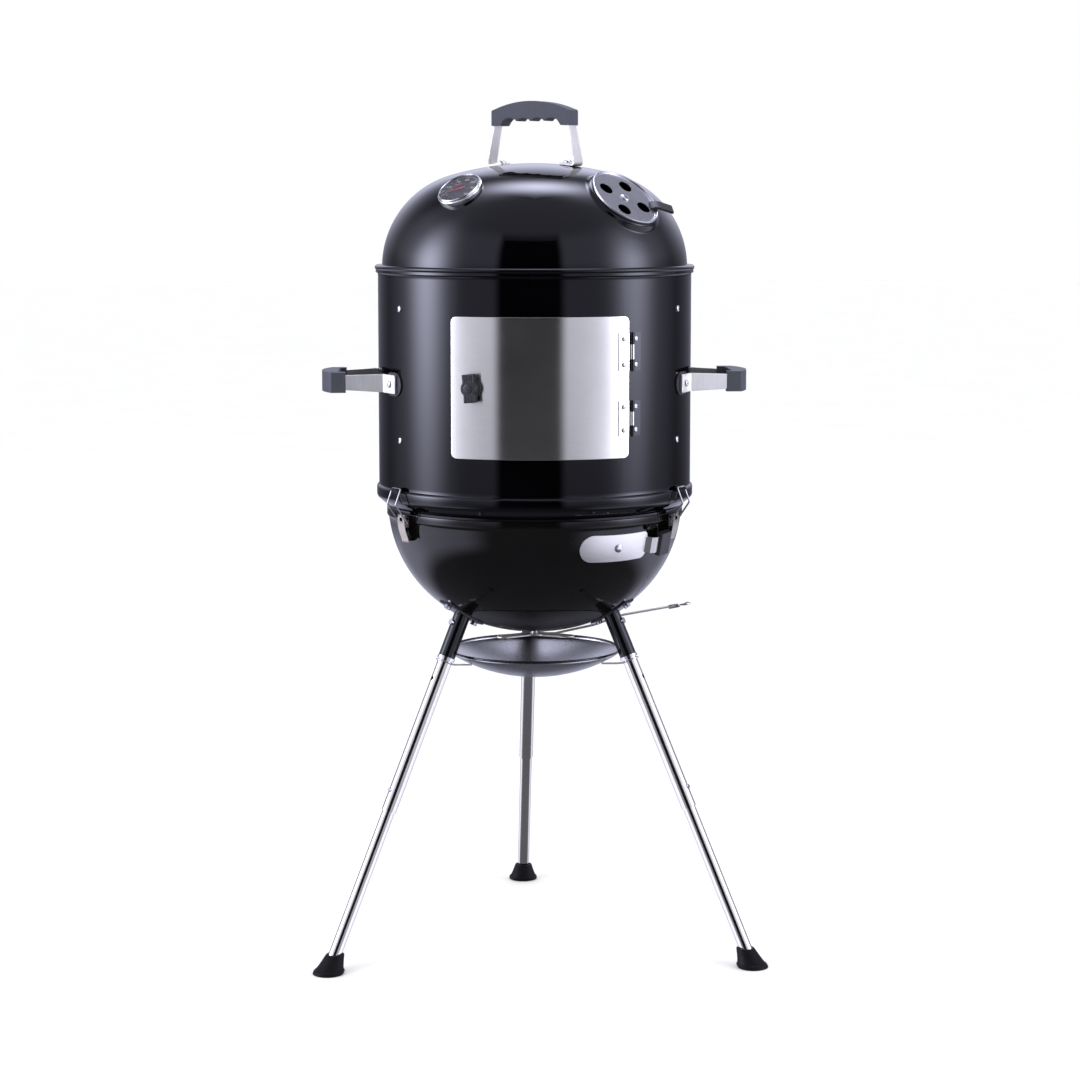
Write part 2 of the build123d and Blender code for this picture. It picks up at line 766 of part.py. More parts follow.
def upper_leg(angle):
    """Fixed outer tube, with one button hole for the long setting and one for the short."""
    tube = post(upper_tube_r, *upper_span) - post(upper_tube_r - upper_tube_wall, 0, 800)
    for s in (button_s, button_s + leg_stroke):
        tube -= rod((0, 0, s), (20, 0, s), button_r + 0.3)
    tube -= rod((0, 0, along_leg(480)), (20, 0, along_leg(480)), 2.5)
    return leg_plane(angle).location * tube


def leg_collar(angle):
    low = socket_span[0] - 4.0
    return leg_plane(angle).location * ring(upper_tube_r, 12.8, low, socket_span[0])


def socket_bolts():
    """One screw through each socket and two through each bracket into the bowl."""
    bolts = []
    for angle in leg_angles.values():
        place = leg_plane(angle).location
        cross = rod((upper_tube_r - 2, 0, along_leg(480)), (13.5, 0, along_leg(480)), 2.5)
        cross += rod((12.05, 0, along_leg(480)), (15.0, 0, along_leg(480)), 4.5)
        bolts.append(place * cross)
        for r in bracket_bolt_rs:
            bolts.append(bracket_bolt(angle, r, -4.0, bracket_sheet + 4.0, 5.0, 3.9))
    return bolts


def lower_leg(angle):
    tube = post(lower_tube_r, *lower_span) - post(lower_tube_r - lower_tube_wall, 14, 800)
    tube -= rod((0, 0, button_s), (20, 0, button_s), button_r + 0.06)
    return leg_plane(angle).location * tube


def foot(angle):
    """Rubber foot: flat round sole, cone leaning with the leg, bored for the tube."""
    lean = tan(radians(leg_tilt))
    sole = Pos(leg_foot_circle_r, 0, 0) * Circle(22)
    shoulder = Pos(leg_foot_circle_r - 1.0, 0, 6) * Circle(20.5)
    neck = Pos(leg_foot_circle_r - 27 * lean, 0, 27) * Circle(12.6)
    body = loft([sole, shoulder]) + loft([shoulder, neck])
    return turned(body, angle) - leg_plane(angle).location * post(lower_tube_r, lower_span[0], 60)


def leg_button(angle):
    """Spring button: domed pin on a small leaf inside the lower tube."""
    pin = rod((4.5, 0, button_s), (12.4, 0, button_s), button_r)
    leaf = Pos(3.9, 0, button_s) * Box(1.2, 5.0, 26)
    return leg_plane(angle).location * (pin + leaf)


pan_r = 124.0
pan_rim_z = 436.0
pan_lip = 6.0
pan_bottom_z = 395.0


def ash_pan():
    """Shallow pressed pan with an upright lip."""
    sag = pan_rim_z - pan_lip - pan_bottom_z
    dish_r = (pan_r * pan_r + sag * sag) / (2 * sag)
    centre = pan_bottom_z + dish_r
    dish = Pos(0, 0, centre) * (Sphere(dish_r) - Sphere(dish_r - 1.2))
    dish = dish & post(pan_r, pan_bottom_z - 1, pan_rim_z - pan_lip)
    lip = ring(pan_r - 1.2, pan_r, pan_rim_z - pan_lip - 1.0, pan_rim_z)
    lip += Pos(0, 0, pan_rim_z - 1.6) * (ring(pan_r - 1.0, pan_r + 1.6, -1.6, 1.6))
    return dish + lip


def ash_pan_clip(angle):
    """Wire clip round the leg below its collar, with one arm under the pan."""
    low = socket_span[0] - 7.0
    hoop = leg_plane(angle).location * (Pos(0, 0, low) * Torus(upper_tube_r + 1.5, 1.3))
    t = radians(leg_tilt)
    axis_r = leg_foot_circle_r - low * sin(t)
    axis_z = low * cos(t)
    inner_r = axis_r - (upper_tube_r + 1.5) * cos(t)
    inner_z = axis_z - (upper_tube_r + 1.5) * sin(t)
    arm = bent_wire([(inner_r, 0, inner_z), (inner_r - 8, 0, inner_z - 1.4), (109, 0, 420.0)], 1.3)
    return hoop + turned(arm, angle)


# Latches: drawn at angle zero with X outwards, then turned to each leg's angle

latch_pivot = (220.0, 640.0)
bail_pivot = (220.0, 632.0)
bail_elbow = (240.0, 661.0)
bail_top = (231.5, 682.5)
bail_y = 11.5
bail_wire_r = 1.25
latch_pin_r = 1.5
ear_y = (6.0, 7.5)
cheek_y = (8.0, 9.2)


def latch_base(angle):
    """Bracket on the bowl with two ears and the lever's pin."""
    px, pz = latch_pivot
    neck = [(px - 2.8, pz), (px + 2.8, pz), (218.5, 626), (213, 613), (205, 613), (205, 630), (214, 634)]
    base = plate_xz([(203, 608), (213, 608), (213, 632), (203, 632)], -ear_y[1], ear_y[1])
    for side in (-1, 1):
        low = min(side * ear_y[0], side * ear_y[1])
        high = max(side * ear_y[0], side * ear_y[1])
        base += plate_xz(neck, low, high) + rod((px, low, pz), (px, high, pz), 3.0)
    base -= bowl_outside
    base -= bowl_rim()
    base += rod((px, -10.6, pz), (px, 10.6, pz), latch_pin_r)
    return turned(base, angle)


def latch_keeper(angle):
    """Hook on the barrel above the bead that the bail's cross bar drops into."""
    bx, bz = bail_top
    floor = bz - bail_wire_r - 0.35
    outline = [
        (222, floor - 2.5), (236, floor - 2.5), (236, bz + 0.4), (234.6, bz + 0.9), (233.2, bz + 0.4),
        (233.2, floor), (bx - 4.3, floor), (227.0, floor + 1.5), (227.0, 684.5), (222, 684.5),
    ]
    hook = plate_xz(outline, -8, 8) - post(barrel_r + 0.02, 600, 700)
    return turned(hook, angle)


def latch_lever(angle):
    """Pressed lever: curved web outside, two cheeks on the pin."""
    px, pz = latch_pivot
    outer = Spline((224.4, 645.5), (224.4, 634.0), (222.0, 621.0), (217.5, 609.0), (217.8, 606.0))
    web = extrude(Plane.XZ * trace(outer, line_width=1.2), cheek_y[1], both=True)
    outline = [(217.2, 627.5), (223.8, 627.5), (224.4, 634.0), (224.4, 645.0), (220.0, 644.0), (217.0, 641.5)]
    lever = web
    for side in (-1, 1):
        low = min(side * cheek_y[0], side * cheek_y[1])
        lever += plate_xz(outline, low, low + cheek_y[1] - cheek_y[0])
    lever -= rod((px, -12, pz), (px, 12, pz), latch_pin_r + 0.06)
    lever -= rod((bail_pivot[0], -12, bail_pivot[1]), (bail_pivot[0], 12, bail_pivot[1]), bail_wire_r + 0.06)
    return turned(lever, angle)


def latch_bail(angle):
    """Wire bail: two short ends in the lever, two cranked sides and a cross bar."""
    half = [(x, bail_y, z) for x, z in (bail_pivot, bail_elbow, bail_top)]
    other = [(x, -y, z) for x, y, z in reversed(half)]
    ends = [(bail_pivot[0], 7.8, bail_pivot[1])], [(bail_pivot[0], -7.8, bail_pivot[1])]
    return turned(bent_wire(ends[0] + half + other + ends[1], bail_wire_r), angle)


# Output

os.makedirs("parts", exist_ok=True)


def save(name, *shapes):
    solids = [s for shape in shapes for s in shape.solids()]
    export_step(Compound(solids) if len(solids) > 1 else solids[0], f"parts/{name}.step")
    print(name, len(solids))


def placed(plane, shape):
    return plane.location * shape


save("lid_shell", lid_shell())
strap_on_lid = lid_handle_strap()
save("lid_handle_strap", lid_handle_place() * strap_on_lid)
save("lid_handle_grip", lid_handle_place() * (handle_grip_block() - strap_on_lid))
save("lid_handle_bolts", lid_handle_bolt(-1), lid_handle_bolt(1))
save("damper_disc", placed(damper_plane, damper_disc()))
save("damper_tab", placed(damper_plane, damper_tab()))
save("damper_rivet", placed(damper_plane, damper_rivet()))
save("thermometer_case", placed(thermometer_plane, thermometer_case()))
save("thermometer_dial", placed(thermometer_plane, thermometer_dial()))
save("thermometer_glass", placed(thermometer_plane, thermometer_glass()))
save("thermometer_needle", placed(thermometer_plane, thermometer_needle()))

save("barrel_shell", barrel_shell())
save("barrel_screws", *barrel_screws())
save("grate_straps", *[grate_strap(az) for az in strap_azimuths])
save("upper_grate", cooking_grate(212.0, shelf_zs[2] + shelf_thick + grate_wire_r + 0.02))
save("lower_grate", cooking_grate(212.0, shelf_zs[1] + shelf_thick + grate_wire_r + 0.02))
save("water_pan", water_pan())

side_strap = side_handle_strap()
side_grip = handle_grip_block() - side_strap
for name, side in (("left", -1), ("right", 1)):
    save(f"side_handle_strap_{name}", side_handle_place(side) * side_strap)
    save(f"side_handle_grip_{name}", side_handle_place(side) * side_grip)
save("side_handle_pads", *[side_handle_pad(az) for az in side_pad_azimuths])
save("side_handle_screws", *[side_handle_screw(az) for az in side_screw_azimuths])

save("barrel_hinge_leaves", *[barrel_hinge_leaf(*span) for span in hinge_spans])
save("door_hinge_leaves", *[door_hinge_leaf(*span) for span in hinge_spans])
save("door_hinge_screws", *door_hinge_screws())
save("door_panel", door_panel())
knob_plane = outward(knob_az, 0, knob_z, 0)
save("door_knob", placed(knob_plane, door_knob()))
save("door_tongue", placed(knob_plane, door_tongue()))

bowl = bowl_shell()
base_post = post(bowl_base_r, 440, 500)
save("bowl_shell", bowl - base_post)
save("bowl_base", bowl & base_post)
save("bowl_vent_plate", placed(vent_plane, vent_plate()))
save("bowl_vent_grip", placed(vent_plane, vent_grip()))
save("bowl_vent_rivet", placed(vent_plane, vent_rivet()))
save("sweeper_blades", sweeper_blades())
save("sweeper_lever", sweeper_lever())
save("sweeper_grip", sweeper_grip())
save("charcoal_grate", charcoal_grate())
save("ash_pan", ash_pan())
save("ash_pan_clips", *[ash_pan_clip(a) for a in leg_angles.values()])

save("leg_sockets", *[leg_socket(a) for a in leg_angles.values()])
save("upper_legs", *[upper_leg(a) for a in leg_angles.values()])
save("leg_collars", *[leg_collar(a) for a in leg_angles.values()])
save("socket_bolts", *socket_bolts())
save("latch_bases", *[latch_base(a) for a in latch_angles.values()])
save("latch_keepers", *[latch_keeper(a) for a in latch_angles.values()])
for name, angle in leg_angles.items():
    save(f"lower_leg_{name}", lower_leg(angle))
    save(f"foot_{name}", foot(angle))
    save(f"leg_button_{name}", leg_button(angle))
    save(f"latch_lever_{name}", latch_lever(angle))
    save(f"latch_bail_{name}", latch_bail(angle))
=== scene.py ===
import json
from math import atan2, cos, degrees, hypot, pi, radians, sin, sqrt, tan

import bpy
from mathutils import Matrix, Vector


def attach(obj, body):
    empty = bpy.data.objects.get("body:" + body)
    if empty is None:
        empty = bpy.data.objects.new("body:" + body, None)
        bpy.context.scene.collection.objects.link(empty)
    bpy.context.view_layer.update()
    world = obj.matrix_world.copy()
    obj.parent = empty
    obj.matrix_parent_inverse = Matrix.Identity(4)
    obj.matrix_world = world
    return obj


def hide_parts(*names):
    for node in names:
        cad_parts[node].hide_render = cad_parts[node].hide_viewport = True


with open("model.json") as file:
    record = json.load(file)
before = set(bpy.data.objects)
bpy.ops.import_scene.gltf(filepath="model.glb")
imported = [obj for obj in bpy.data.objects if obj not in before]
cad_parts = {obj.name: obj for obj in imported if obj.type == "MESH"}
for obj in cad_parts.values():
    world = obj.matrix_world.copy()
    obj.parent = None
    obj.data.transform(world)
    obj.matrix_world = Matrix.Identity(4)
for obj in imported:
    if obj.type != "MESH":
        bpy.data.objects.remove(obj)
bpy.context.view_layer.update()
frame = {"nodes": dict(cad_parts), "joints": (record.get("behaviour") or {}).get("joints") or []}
jointByName = {joint["name"]: joint for joint in frame["joints"]}
legAngles = {"left": 210.0, "right": 330.0, "rear": 90.0}  # degrees about Z from +X
mm = 0.001
fullTurn = 2 * pi


# working helpers

def deselectAll():
    if bpy.context.object and bpy.context.object.mode != "OBJECT":
        bpy.ops.object.mode_set(mode="OBJECT")
    bpy.ops.object.select_all(action="DESELECT")


def pickOnly(piece):
    deselectAll()
    piece.select_set(True)
    bpy.context.view_layer.objects.active = piece


def editAll(piece):
    pickOnly(piece)
    bpy.ops.object.mode_set(mode="EDIT")
    bpy.ops.mesh.select_mode(type="VERT")
    bpy.ops.mesh.select_all(action="SELECT")


def leaveEdit():
    bpy.ops.object.mode_set(mode="OBJECT")


def settle(piece):
    # the place, turn and size go into the mesh
    pickOnly(piece)
    bpy.ops.object.transform_apply(location=True, rotation=True, scale=True)
    return piece


def place(piece, matrix):
    piece.matrix_world = matrix @ piece.matrix_world
    return settle(piece)


def modify(piece, kind, **settings):
    # a modifier with its settings, applied at once
    modifier = piece.modifiers.new("shaping", kind)
    for setting, value in settings.items():
        setattr(modifier, setting, value)
    pickOnly(piece)
    bpy.ops.object.modifier_apply(modifier=modifier.name)
    return piece


def roundEdges(piece, width, segments=3, angle=35.0):
    settings = {"width": width * mm, "segments": segments, "angle_limit": radians(angle)}
    return modify(piece, "BEVEL", limit_method="ANGLE", **settings)


def giveThickness(piece, thickness, offset=-1.0):
    return modify(piece, "SOLIDIFY", thickness=thickness * mm, offset=offset, use_even_offset=True)


def smoothPiece(piece, angle=35.0):
    pickOnly(piece)
    bpy.ops.object.shade_smooth_by_angle(angle=radians(angle))
    return piece


def cleanUp(piece, gap=0.005):
    editAll(piece)
    bpy.ops.mesh.remove_doubles(threshold=gap * mm)
    bpy.ops.mesh.normals_make_consistent(inside=False)
    leaveEdit()
    return piece


def joinPieces(pieces, name):
    pickOnly(pieces[0])
    for piece in pieces[1:]:
        piece.select_set(True)
    if len(pieces) > 1:
        bpy.ops.object.join()
    joined = bpy.context.view_layer.objects.active
    joined.name = name
    return joined


def copyPiece(piece):
    pickOnly(piece)
    bpy.ops.object.duplicate()
    return bpy.context.view_layer.objects.active


def cutAway(piece, cutters, operation="DIFFERENCE"):
    for cutter in cutters:
        modify(piece, "BOOLEAN", operation=operation, solver="EXACT", object=cutter)
        bpy.data.objects.remove(cutter, do_unlink=True)
    return piece


def drawLine(name, points):
    # one corner of a new plane is drawn out along the points, in millimetres
    deselectAll()
    bpy.ops.mesh.primitive_plane_add(size=mm)
    piece = bpy.context.object
    piece.name = name
    editAll(piece)
    bpy.ops.mesh.merge(type="CENTER")
    bpy.ops.transform.translate(value=Vector(points[0]) * mm)
    for start, end in zip(points, points[1:]):
        step = (Vector(end) - Vector(start)) * mm
        bpy.ops.mesh.extrude_region_move(TRANSFORM_OT_translate={"value": step})
    leaveEdit()
    return piece


def turnOutline(name, outline, steps, closed=False):
    # outline holds (radius, height) pairs in millimetres, spun about Z
    points = [(r, 0, z) for r, z in outline]
    if closed:
        points.append(points[0])
    piece = drawLine(name, points)
    editAll(piece)
    bpy.ops.mesh.spin(steps=steps, angle=fullTurn, center=(0, 0, 0), axis=(0, 0, 1))
    leaveEdit()
    return cleanUp(piece)


def platePiece(name, outline, low, high):
    # outline holds (x, y) pairs in millimetres, drawn up from low to high
    points = [(x, y, low) for x, y in outline]
    piece = drawLine(name, points + [points[0]])
    editAll(piece)
    bpy.ops.mesh.remove_doubles(threshold=0.001 * mm)
    bpy.ops.mesh.select_all(action="SELECT")
    bpy.ops.mesh.edge_face_add()
    bpy.ops.mesh.extrude_region_move(TRANSFORM_OT_translate={"value": (0, 0, (high - low) * mm)})
    leaveEdit()
    return cleanUp(piece)


def postPiece(name, radius, low, high, sides=48):
    deselectAll()
    bpy.ops.mesh.primitive_cylinder_add(
        vertices=sides, radius=radius * mm, depth=(high - low) * mm, location=(0, 0, (low + high) / 2 * mm)
    )
    piece = bpy.context.object
    piece.name = name
    return settle(piece)


def arcPoints(centre, radius, startAngle, endAngle, count):
    points = []
    for i in range(count + 1):
        angle = radians(startAngle + (endAngle - startAngle) * i / count)
        points.append((centre[0] + radius * cos(angle), centre[1] + radius * sin(angle)))
    return points


def roundCorners(points, radius, count=5):
    # each inner corner of a line becomes an arc
    corners = [Vector(p) for p in points]
    line = [corners[0]]
    for before, corner, after in zip(corners, corners[1:], corners[2:]):
        back = (before - corner).normalized()
        ahead = (after - corner).normalized()
        turn = pi - back.angle(ahead)
        reach = min(radius * tan(turn / 2), 0.45 * min((before - corner).length, (after - corner).length))
        start = corner + back * reach
        end = corner + ahead * reach
        for i in range(count + 1):
            t = i / count
            line.append(start * (1 - t) ** 2 + corner * 2 * t * (1 - t) + end * t ** 2)
    line.append(corners[-1])
    return line


def bentWire(name, points, radius, bend, sides=12):
    # round wire through the points, in millimetres
    curve = bpy.data.curves.new(name, "CURVE")
    curve.dimensions = "3D"
    curve.bevel_depth = radius * mm
    curve.bevel_resolution = sides // 4
    curve.use_fill_caps = True
    line = roundCorners(points, bend) if bend else [Vector(p) for p in points]
    spline = curve.splines.new("POLY")
    spline.points.add(len(line) - 1)
    for target, point in zip(spline.points, line):
        target.co = (*(point * mm), 1)
    wire = bpy.data.objects.new(name, curve)
    bpy.context.scene.collection.objects.link(wire)
    pickOnly(wire)
    bpy.ops.object.convert(target="MESH")
    return smoothPiece(cleanUp(bpy.context.object, 0.001), 50)


def planeMatrix(origin, normal):
    # local Z points outward, X to the viewer's right, Y up the slope
    z = Vector(normal).normalized()
    x = Vector((0, 0, 1)).cross(z).normalized()
    y = z.cross(x)
    matrix = Matrix((x, y, z)).transposed().to_4x4()
    matrix.translation = Vector(origin)
    return matrix


def aroundBarrel(azimuth, height):
    # plane through the barrel's axis, facing out at an azimuth from the front
    a = radians(azimuth)
    return planeMatrix((0, 0, height * mm), (sin(a), -cos(a), 0))


def turned(angle):
    return Matrix.Rotation(radians(angle), 4, "Z")


def moved(x, y, z):
    return Matrix.Translation(Vector((x, y, z)) * mm)


def finishPiece(piece, body, material, nodes=(), angle=35.0):
    smoothPiece(piece, angle)
    modify(piece, "WEIGHTED_NORMAL", keep_sharp=True)
    piece.data.materials.clear()
    piece.data.materials.append(material)
    if nodes:
        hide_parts(*nodes)
    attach(piece, body)
    return piece


# materials

def startMaterial(name):
    material = bpy.data.materials.new(name)
    material.use_nodes = True
    nodes = material.node_tree.nodes
    coordinates = nodes.new("ShaderNodeTexCoord")
    return {
        "material": material, "nodes": nodes, "links": material.node_tree.links,
        "shader": nodes["Principled BSDF"], "where": coordinates.outputs["Object"],
    }


def addNode(kit, kind, inputs):
    # each input is set to a value or linked to another node's output
    node = kit["nodes"].new("ShaderNode" + kind)
    for name, value in inputs.items():
        if isinstance(value, bpy.types.NodeSocket):
            kit["links"].new(value, node.inputs[name])
        else:
            node.inputs[name].default_value = value
    return node


def grain(kit, scale, detail=3.0, roughness=0.55, stretch=(1, 1, 1)):
    mapping = addNode(kit, "Mapping", {"Scale": stretch, "Vector": kit["where"]})
    settings = {"Scale": scale, "Detail": detail, "Roughness": roughness}
    noise = addNode(kit, "TexNoise", {"Vector": mapping.outputs["Vector"], **settings})
    return noise.outputs["Fac"]


def speckle(kit, scale, size):
    cells = addNode(kit, "TexVoronoi", {"Scale": scale, "Vector": kit["where"]})
    return mapped(kit, cells.outputs["Distance"], 0.0, size, 1.0, 0.0)


def mapped(kit, value, low, high, toLow, toHigh):
    limits = {"From Min": low, "From Max": high, "To Min": toLow, "To Max": toHigh}
    return addNode(kit, "MapRange", {"Value": value, **limits}).outputs["Result"]


def combined(kit, operation, first, second):
    math = addNode(kit, "Math", {0: first, 1: second})
    math.operation = operation
    return math.outputs["Value"]


def times(kit, first, *others):
    for other in others:
        first = combined(kit, "MULTIPLY", first, other)
    return first


def plus(kit, first, *others):
    for other in others:
        first = combined(kit, "ADD", first, other)
    return first


def colourBetween(kit, factor, dark, light, low=0.3, high=0.7):
    ramp = addNode(kit, "ValToRGB", {"Fac": factor})
    ramp.color_ramp.elements[0].position = low
    ramp.color_ramp.elements[0].color = (*dark, 1)
    ramp.color_ramp.elements[1].position = high
    ramp.color_ramp.elements[1].color = (*light, 1)
    kit["links"].new(ramp.outputs["Color"], kit["shader"].inputs["Base Color"])


def roughnessBetween(kit, factor, low, high):
    kit["links"].new(mapped(kit, factor, 0.3, 0.7, low, high), kit["shader"].inputs["Roughness"])


def surfaceRelief(kit, height, strength, depth):
    bump = addNode(kit, "Bump", {"Strength": strength, "Distance": depth * mm, "Height": height})
    kit["links"].new(bump.outputs["Normal"], kit["shader"].inputs["Normal"])


def makeEnamel(name, dark, light, low, high):
    # fired gloss enamel: soft orange peel, faint handling marks and dust
    kit = startMaterial(name)
    shader = kit["shader"]
    shader.inputs["IOR"].default_value = 1.5
    shader.inputs["Specular IOR Level"].default_value = 0.36
    colourBetween(kit, grain(kit, 9.0, 4.0), dark, light)
    marks = grain(kit, 14.0, 6.0, 0.6)
    dust = speckle(kit, 420.0, 0.10)
    roughnessBetween(kit, plus(kit, marks, times(kit, dust, 0.2)), low, high)
    peel = grain(kit, 190.0, 1.0, 0.4)
    wave = grain(kit, 16.0, 1.0, 0.4)
    surfaceRelief(kit, plus(kit, peel, times(kit, wave, 3.0)), 0.035, 0.03)
    return kit["material"]


def makeSteel(name, dark, light, low, high, stretch, relief, anisotropy=0.0):
    # bare metal with drawn or brushed lines along the short stretch axes
    kit = startMaterial(name)
    shader = kit["shader"]
    shader.inputs["Metallic"].default_value = 1.0
    shader.inputs["Anisotropic"].default_value = anisotropy
    lines = grain(kit, 60.0, 6.0, 0.6, stretch)
    stains = grain(kit, 12.0, 3.0)
    tone = plus(kit, times(kit, lines, 0.6), times(kit, stains, 0.4))
    colourBetween(kit, tone, dark, light)
    roughnessBetween(kit, tone, low, high)
    surfaceRelief(kit, lines, relief, 0.02)
    return kit["material"]


def brushedUpright(material):
    # level brush lines on an upright face spread the gloss up and down
    nodes = material.node_tree.nodes
    kit = {"nodes": nodes, "links": material.node_tree.links}
    upright = addNode(kit, "CombineXYZ", {"Z": 1.0}).outputs["Vector"]
    kit["links"].new(upright, nodes["Principled BSDF"].inputs["Tangent"])


def makeMoulding(name, dark, light, low, high, grainScale, relief, gloss=0.5):
    # moulded plastic or rubber with a fine spark-eroded grain
    kit = startMaterial(name)
    kit["shader"].inputs["Specular IOR Level"].default_value = gloss
    skin = grain(kit, grainScale, 3.0, 0.6)
    marks = grain(kit, 30.0, 4.0)
    colourBetween(kit, times(kit, plus(kit, skin, marks), 0.5), dark, light)
    roughnessBetween(kit, marks, low, high)
    surfaceRelief(kit, skin, relief, 0.08)
    return kit["material"]


def makeGlass(name):
    kit = startMaterial(name)
    shader = kit["shader"]
    shader.inputs["Transmission Weight"].default_value = 1.0
    shader.inputs["IOR"].default_value = 1.45
    shader.inputs["Specular IOR Level"].default_value = 0.12
    colourBetween(kit, grain(kit, 40.0), (0.93, 0.96, 0.95), (1.0, 1.0, 1.0))
    roughnessBetween(kit, grain(kit, 60.0, 5.0), 0.0, 0.03)
    return kit["material"]


blackEnamel = makeEnamel("blackEnamel", (0.0004, 0.0004, 0.0007), (0.0010, 0.0010, 0.0015), 0.03, 0.06)
bowlEnamel = makeEnamel("bowlEnamel", (0.0018, 0.0015, 0.0012), (0.0036, 0.0030, 0.0025), 0.04, 0.07)
doorSteel = makeSteel(
    "doorSteel", (0.86, 0.85, 0.755), (0.96, 0.95, 0.85), 0.17, 0.21, (1, 1, 40), 0.015, 0.9,
)
brushedUpright(doorSteel)
strapSteel = makeSteel("strapSteel", (0.74, 0.73, 0.66), (0.88, 0.87, 0.80), 0.46, 0.56, (3, 3, 0.6), 0.02)
tubeSteel = makeSteel("tubeSteel", (0.66, 0.635, 0.56), (0.80, 0.775, 0.69), 0.12, 0.20, (10, 10, 1), 0.04)
panSteel = makeSteel("panSteel", (0.40, 0.40, 0.405), (0.54, 0.54, 0.545), 0.24, 0.34, (5, 5, 5), 0.05)
chrome = makeSteel("bezelChrome", (0.82, 0.81, 0.78), (0.92, 0.91, 0.88), 0.10, 0.16, (4, 4, 4), 0.02)
damperMetal = makeSteel("damperMetal", (0.48, 0.48, 0.49), (0.60, 0.60, 0.61), 0.26, 0.36, (8, 8, 8), 0.06)
ventSteel = makeSteel("ventSteel", (0.72, 0.71, 0.66), (0.84, 0.83, 0.78), 0.30, 0.38, (1, 1, 12), 0.02)
latchSteel = makeSteel("latchSteel", (0.40, 0.36, 0.29), (0.56, 0.52, 0.44), 0.22, 0.4, (10, 10, 3), 0.15)
plateWire = makeSteel("plateWire", (0.6, 0.6, 0.6), (0.75, 0.75, 0.75), 0.14, 0.24, (5, 5, 5), 0.05)
screwSteel = makeSteel("screwSteel", (0.6, 0.6, 0.61), (0.74, 0.74, 0.75), 0.16, 0.26, (6, 6, 6), 0.08)
gripPlastic = makeMoulding("gripPlastic", (0.042, 0.045, 0.062), (0.062, 0.066, 0.088), 0.5, 0.62, 900, 0.25)
blackPlastic = makeMoulding("blackPlastic", (0.010, 0.010, 0.013), (0.02, 0.02, 0.025), 0.4, 0.5, 700, 0.2)
footRubber = makeMoulding(
    "footRubber", (0.003, 0.003, 0.0035), (0.006, 0.006, 0.0065), 0.5, 0.65, 500, 0.25, gloss=0.12,
)
blackPaint = makeMoulding("blackPaint", (0.001, 0.001, 0.0018), (0.003, 0.003, 0.0042), 0.10, 0.18, 350, 0.04)
dialBlack = makeMoulding("dialBlack", (0.008, 0.009, 0.010), (0.016, 0.018, 0.02), 0.4, 0.55, 600.0, 0.1)
printWhite = makeMoulding("printWhite", (0.62, 0.62, 0.6), (0.74, 0.74, 0.72), 0.5, 0.6, 900.0, 0.05)
printRed = makeMoulding("printRed", (0.36, 0.02, 0.025), (0.5, 0.04, 0.04), 0.45, 0.55, 900.0, 0.05)
dialGlass = makeGlass("dialGlass")
print("materials ready")

# lid: two arcs turned about the axis, with the pressed seat for the damper

lidShape = {
    "radius": 219.0, "bottom": 974.2, "kneeRadius": 136.2, "kneeHeight": 989.0, "crownRadius": 434.5,
    "sheet": 1.5, "seatRadius": 55.5, "seatSoftness": 3.4, "seatDepth": -3.0, "holeRadius": 10.2,
    "holeCircle": 30.0, "holeAngle": 50.0, "steps": 160, "domeDepth": 40.0,
}


def domeCentres(shape):
    # both arc radii, the knee's centre out from the axis, and how far the crown's centre is past it
    knee = shape["kneeRadius"]
    crown = shape["crownRadius"]
    offset = shape["radius"] - knee
    return knee, crown, offset, sqrt((crown - knee) ** 2 - offset ** 2)


def domeArcs(shape, up, inset=0.0):
    # knee arc from the wall up, then the crown arc to the axis, moved inwards by inset
    knee, crown, offset, rise = domeCentres(shape)
    tilt = degrees(atan2(rise, offset))
    crownHeight = shape["kneeHeight"] - up * rise
    kneeArc = arcPoints((offset, 0), knee - inset, 0, tilt, 30)
    crownArc = arcPoints((0, 0), crown - inset, tilt, 90, 14)[1:]
    points = [(r, shape["kneeHeight"] + up * z) for r, z in kneeArc]
    return points + [(max(r, 0.0), crownHeight + up * z) for r, z in crownArc]


def jointPlane(name, outwardSign=1.0):
    joint = jointByName[name]
    return planeMatrix(joint["pos_m"], Vector(joint["axis"]) * outwardSign)


damperPlane = jointPlane("damper_turn")
thermometerPlane = jointPlane("needle_sweep", -1.0)


def snapToDome(vertex, shape):
    # back onto the two arcs after a subdivision
    r = hypot(vertex.co.x, vertex.co.y) / mm
    z = vertex.co.z / mm
    if r < 1e-6 or z < shape["kneeHeight"]:
        return
    knee, crown, offset, rise = domeCentres(shape)
    crownHeight = shape["kneeHeight"] - rise
    out = r - offset
    up = z - shape["kneeHeight"]
    if atan2(up, out) < atan2(rise, offset) and r > offset:
        reach = knee / hypot(out, up)
        newR = offset + out * reach
        newZ = shape["kneeHeight"] + up * reach
    else:
        reach = crown / hypot(r, z - crownHeight)
        newR = r * reach
        newZ = crownHeight + (z - crownHeight) * reach
    vertex.co.x *= newR / r
    vertex.co.y *= newR / r
    vertex.co.z = newZ * mm


def refineNear(piece, matrix, radius, cuts):
    pickOnly(piece)
    bpy.ops.object.mode_set(mode="EDIT")
    bpy.ops.mesh.select_mode(type="FACE")
    bpy.ops.mesh.select_all(action="DESELECT")
    leaveEdit()
    inverse = matrix.inverted()
    for face in piece.data.polygons:
        local = inverse @ face.center
        within = hypot(local.x, local.y) < radius * mm
        face.select = within and abs(local.z) < lidShape["domeDepth"] * mm
    bpy.ops.object.mode_set(mode="EDIT")
    bpy.ops.mesh.subdivide(number_cuts=cuts)
    leaveEdit()


